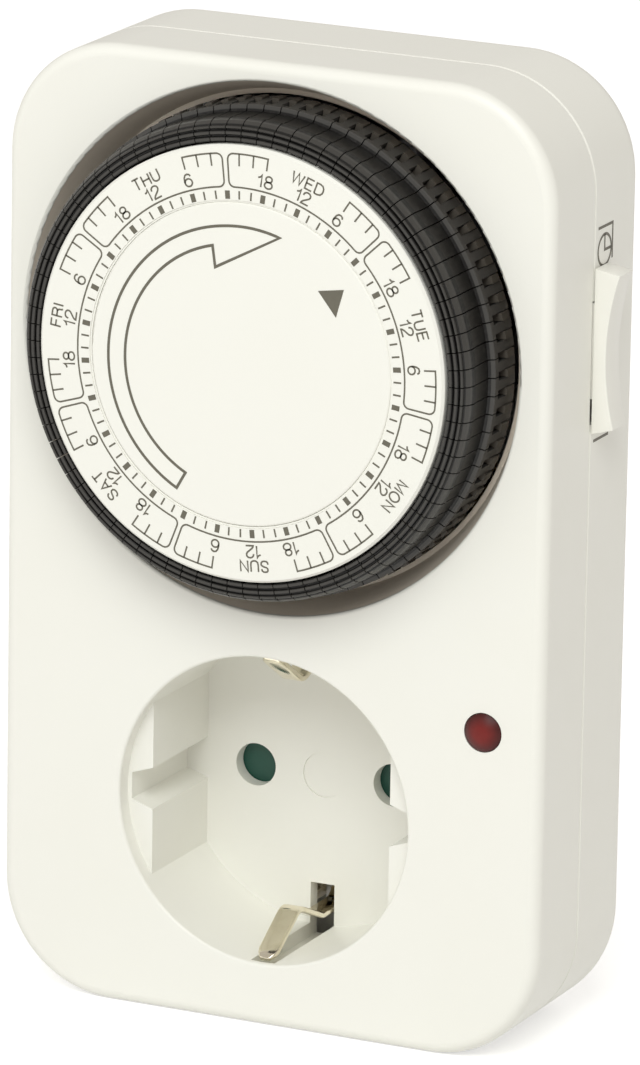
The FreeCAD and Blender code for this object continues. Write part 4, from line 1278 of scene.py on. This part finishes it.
@dataclass
class Studio:
    """Camera, lamps, floor and backdrop."""

    focal_px: float = 8826.18
    sensor_mm: float = 36.0
    azimuth: float = 25.242
    elevation: float = 15.311
    roll: float = 0.987
    distance: float = 1072.78 * MM
    target: Triple = (7.238 * MM, -44.2 * MM, 36.61 * MM)
    near_limit: float = 0.01
    lamps: Tuple[Lamp, ...] = (Lamp("key_lamp", (0.30, -1.0, 1.0), 0.8, 11.0),
                               Lamp("left_lamp", (-1.1, -0.9, 0.5), 0.9, 2.0))
    lamp_tint: Colour = (0.97, 1.0, 1.0)
    ambient: Colour = (1.0, 0.955, 0.905)
    ambient_strength: float = 0.52
    backdrop: Colour = (1.0, 1.0, 1.0)
    backdrop_strength: float = 1.0
    floor_size: float = 3.0
    floor_colour: Colour = (0.86, 0.86, 0.855)
    floor_glow: float = 0.52
    floor_dust: Mottle = Mottle(0.03, 3.0)
    floor_dust_share: float = 0.01

    def build(self) -> None:
        """Sets the stage."""
        self.add_camera()
        self.add_floor()
        self.add_world()
        for lamp in self.lamps:
            self.add_lamp(lamp)

    def add_camera(self) -> None:
        """Camera at the photograph's viewing angle."""
        azimuth = math.radians(self.azimuth)
        elevation = math.radians(self.elevation)
        roll = math.radians(self.roll)
        back = Vector((math.sin(azimuth) * math.cos(elevation),
                       -math.cos(azimuth) * math.cos(elevation), math.sin(elevation)))
        level = Vector((math.cos(azimuth), math.sin(azimuth), 0.0))
        upright = back.cross(level)
        right = level * math.cos(roll) + upright * math.sin(roll)
        up = upright * math.cos(roll) - level * math.sin(roll)
        data = bpy.data.cameras.new("camera")
        data.sensor_width = self.sensor_mm
        data.lens = self.focal_px / IMAGE_HEIGHT_PX * self.sensor_mm
        data.clip_start = self.near_limit
        camera = bpy.data.objects.new("camera", data)
        spot = Vector(self.target) + back * self.distance
        columns = (right, up, back)
        camera.matrix_world = Matrix([[*(column[row] for column in columns), spot[row]]
                                      for row in range(3)] + [[0, 0, 0, 1]])
        bpy.context.scene.collection.objects.link(camera)
        bpy.context.scene.camera = camera

    def add_floor(self) -> None:
        """Pale floor under the case, white to the camera and still shaded."""
        graph = Graph("floor_paint")
        rays = {name: graph.node("ShaderNodeLightPath", {}, {}, name)
                for name in ("Is Camera Ray", "Is Glossy Ray", "Is Transmission Ray")}
        seen = (rays["Is Camera Ray"] + rays["Is Glossy Ray"]
                + rays["Is Transmission Ray"]).clamped()
        dust = graph.noise(self.floor_dust)
        paint = graph.node("ShaderNodeBsdfDiffuse", {}, {"Color": self.floor_colour})
        glow = graph.node("ShaderNodeEmission", {},
                          {"Color": self.backdrop,
                           "Strength": seen * (self.floor_glow
                                               + dust.swing(self.floor_dust_share))})
        both = graph.node("ShaderNodeAddShader", {}, {0: paint, 1: glow})
        graph.tree.links.new(both.socket, graph.output.inputs["Surface"])
        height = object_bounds()[0][2]
        half = self.floor_size / 2
        corners = [Vector((across * half, along * half, height))
                   for across, along in ((-1, -1), (1, -1), (1, 1), (-1, 1))]
        floor = new_piece("floor", corners, [(0, 1, 2, 3)], graph.material)
        floor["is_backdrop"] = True

    def add_world(self) -> None:
        """Soft even light, plain white where it is seen."""
        world = bpy.data.worlds.new("studio")
        bpy.context.scene.world = world
        world.use_nodes = True
        tree = world.node_tree
        tree.nodes.clear()
        path = tree.nodes.new("ShaderNodeLightPath")
        seen = tree.nodes.new("ShaderNodeMath")
        seen.operation = "MAXIMUM"
        seen.use_clamp = True
        tree.links.new(path.outputs["Is Camera Ray"], seen.inputs[0])
        tree.links.new(path.outputs["Is Transmission Ray"], seen.inputs[1])
        strength = tree.nodes.new("ShaderNodeMapRange")
        strength.inputs["To Min"].default_value = self.ambient_strength
        strength.inputs["To Max"].default_value = self.backdrop_strength
        tree.links.new(seen.outputs[0], strength.inputs["Value"])
        glow = tree.nodes.new("ShaderNodeBackground")
        tint = tree.nodes.new("ShaderNodeMix")
        tint.data_type = "RGBA"
        tint.inputs[MIX_FIRST].default_value = (*self.ambient, 1.0)
        tint.inputs[MIX_SECOND].default_value = (*self.backdrop, 1.0)
        tree.links.new(seen.outputs[0], tint.inputs[MIX_FACTOR])
        tree.links.new(tint.outputs[MIX_RESULT], glow.inputs["Color"])
        tree.links.new(strength.outputs["Result"], glow.inputs["Strength"])
        output = tree.nodes.new("ShaderNodeOutputWorld")
        tree.links.new(glow.outputs[0], output.inputs["Surface"])

    def add_lamp(self, lamp: Lamp) -> None:
        """Hangs one lamp, turned to the case."""
        data = bpy.data.lights.new(lamp.name, "AREA")
        data.size = lamp.size
        data.energy = lamp.power
        data.color = self.lamp_tint
        hung = bpy.data.objects.new(lamp.name, data)
        hung.location = lamp.spot
        aim = Vector(self.target) - Vector(lamp.spot)
        hung.rotation_euler = aim.to_track_quat("-Z", "Y").to_euler()
        bpy.context.scene.collection.objects.link(hung)


DIAL_INK = PrintInk((0.125, 0.115, 0.085), (0.18, 0.165, 0.13))


def main() -> None:
    """Builds the looks in order."""
    logging.basicConfig(level=logging.INFO, format="%(name)s: %(message)s")
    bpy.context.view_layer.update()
    bpy.context.scene.view_settings.view_transform = "Standard"
    Studio().build()
    ink = DIAL_INK.material("print_ink")
    for part in (Housing(), DialFace()):
        part.build(ink)
    for part in (TappetRing(), SocketParts(), Movement(), SideParts()):
        part.build()


if __name__ == "__main__":
    main()
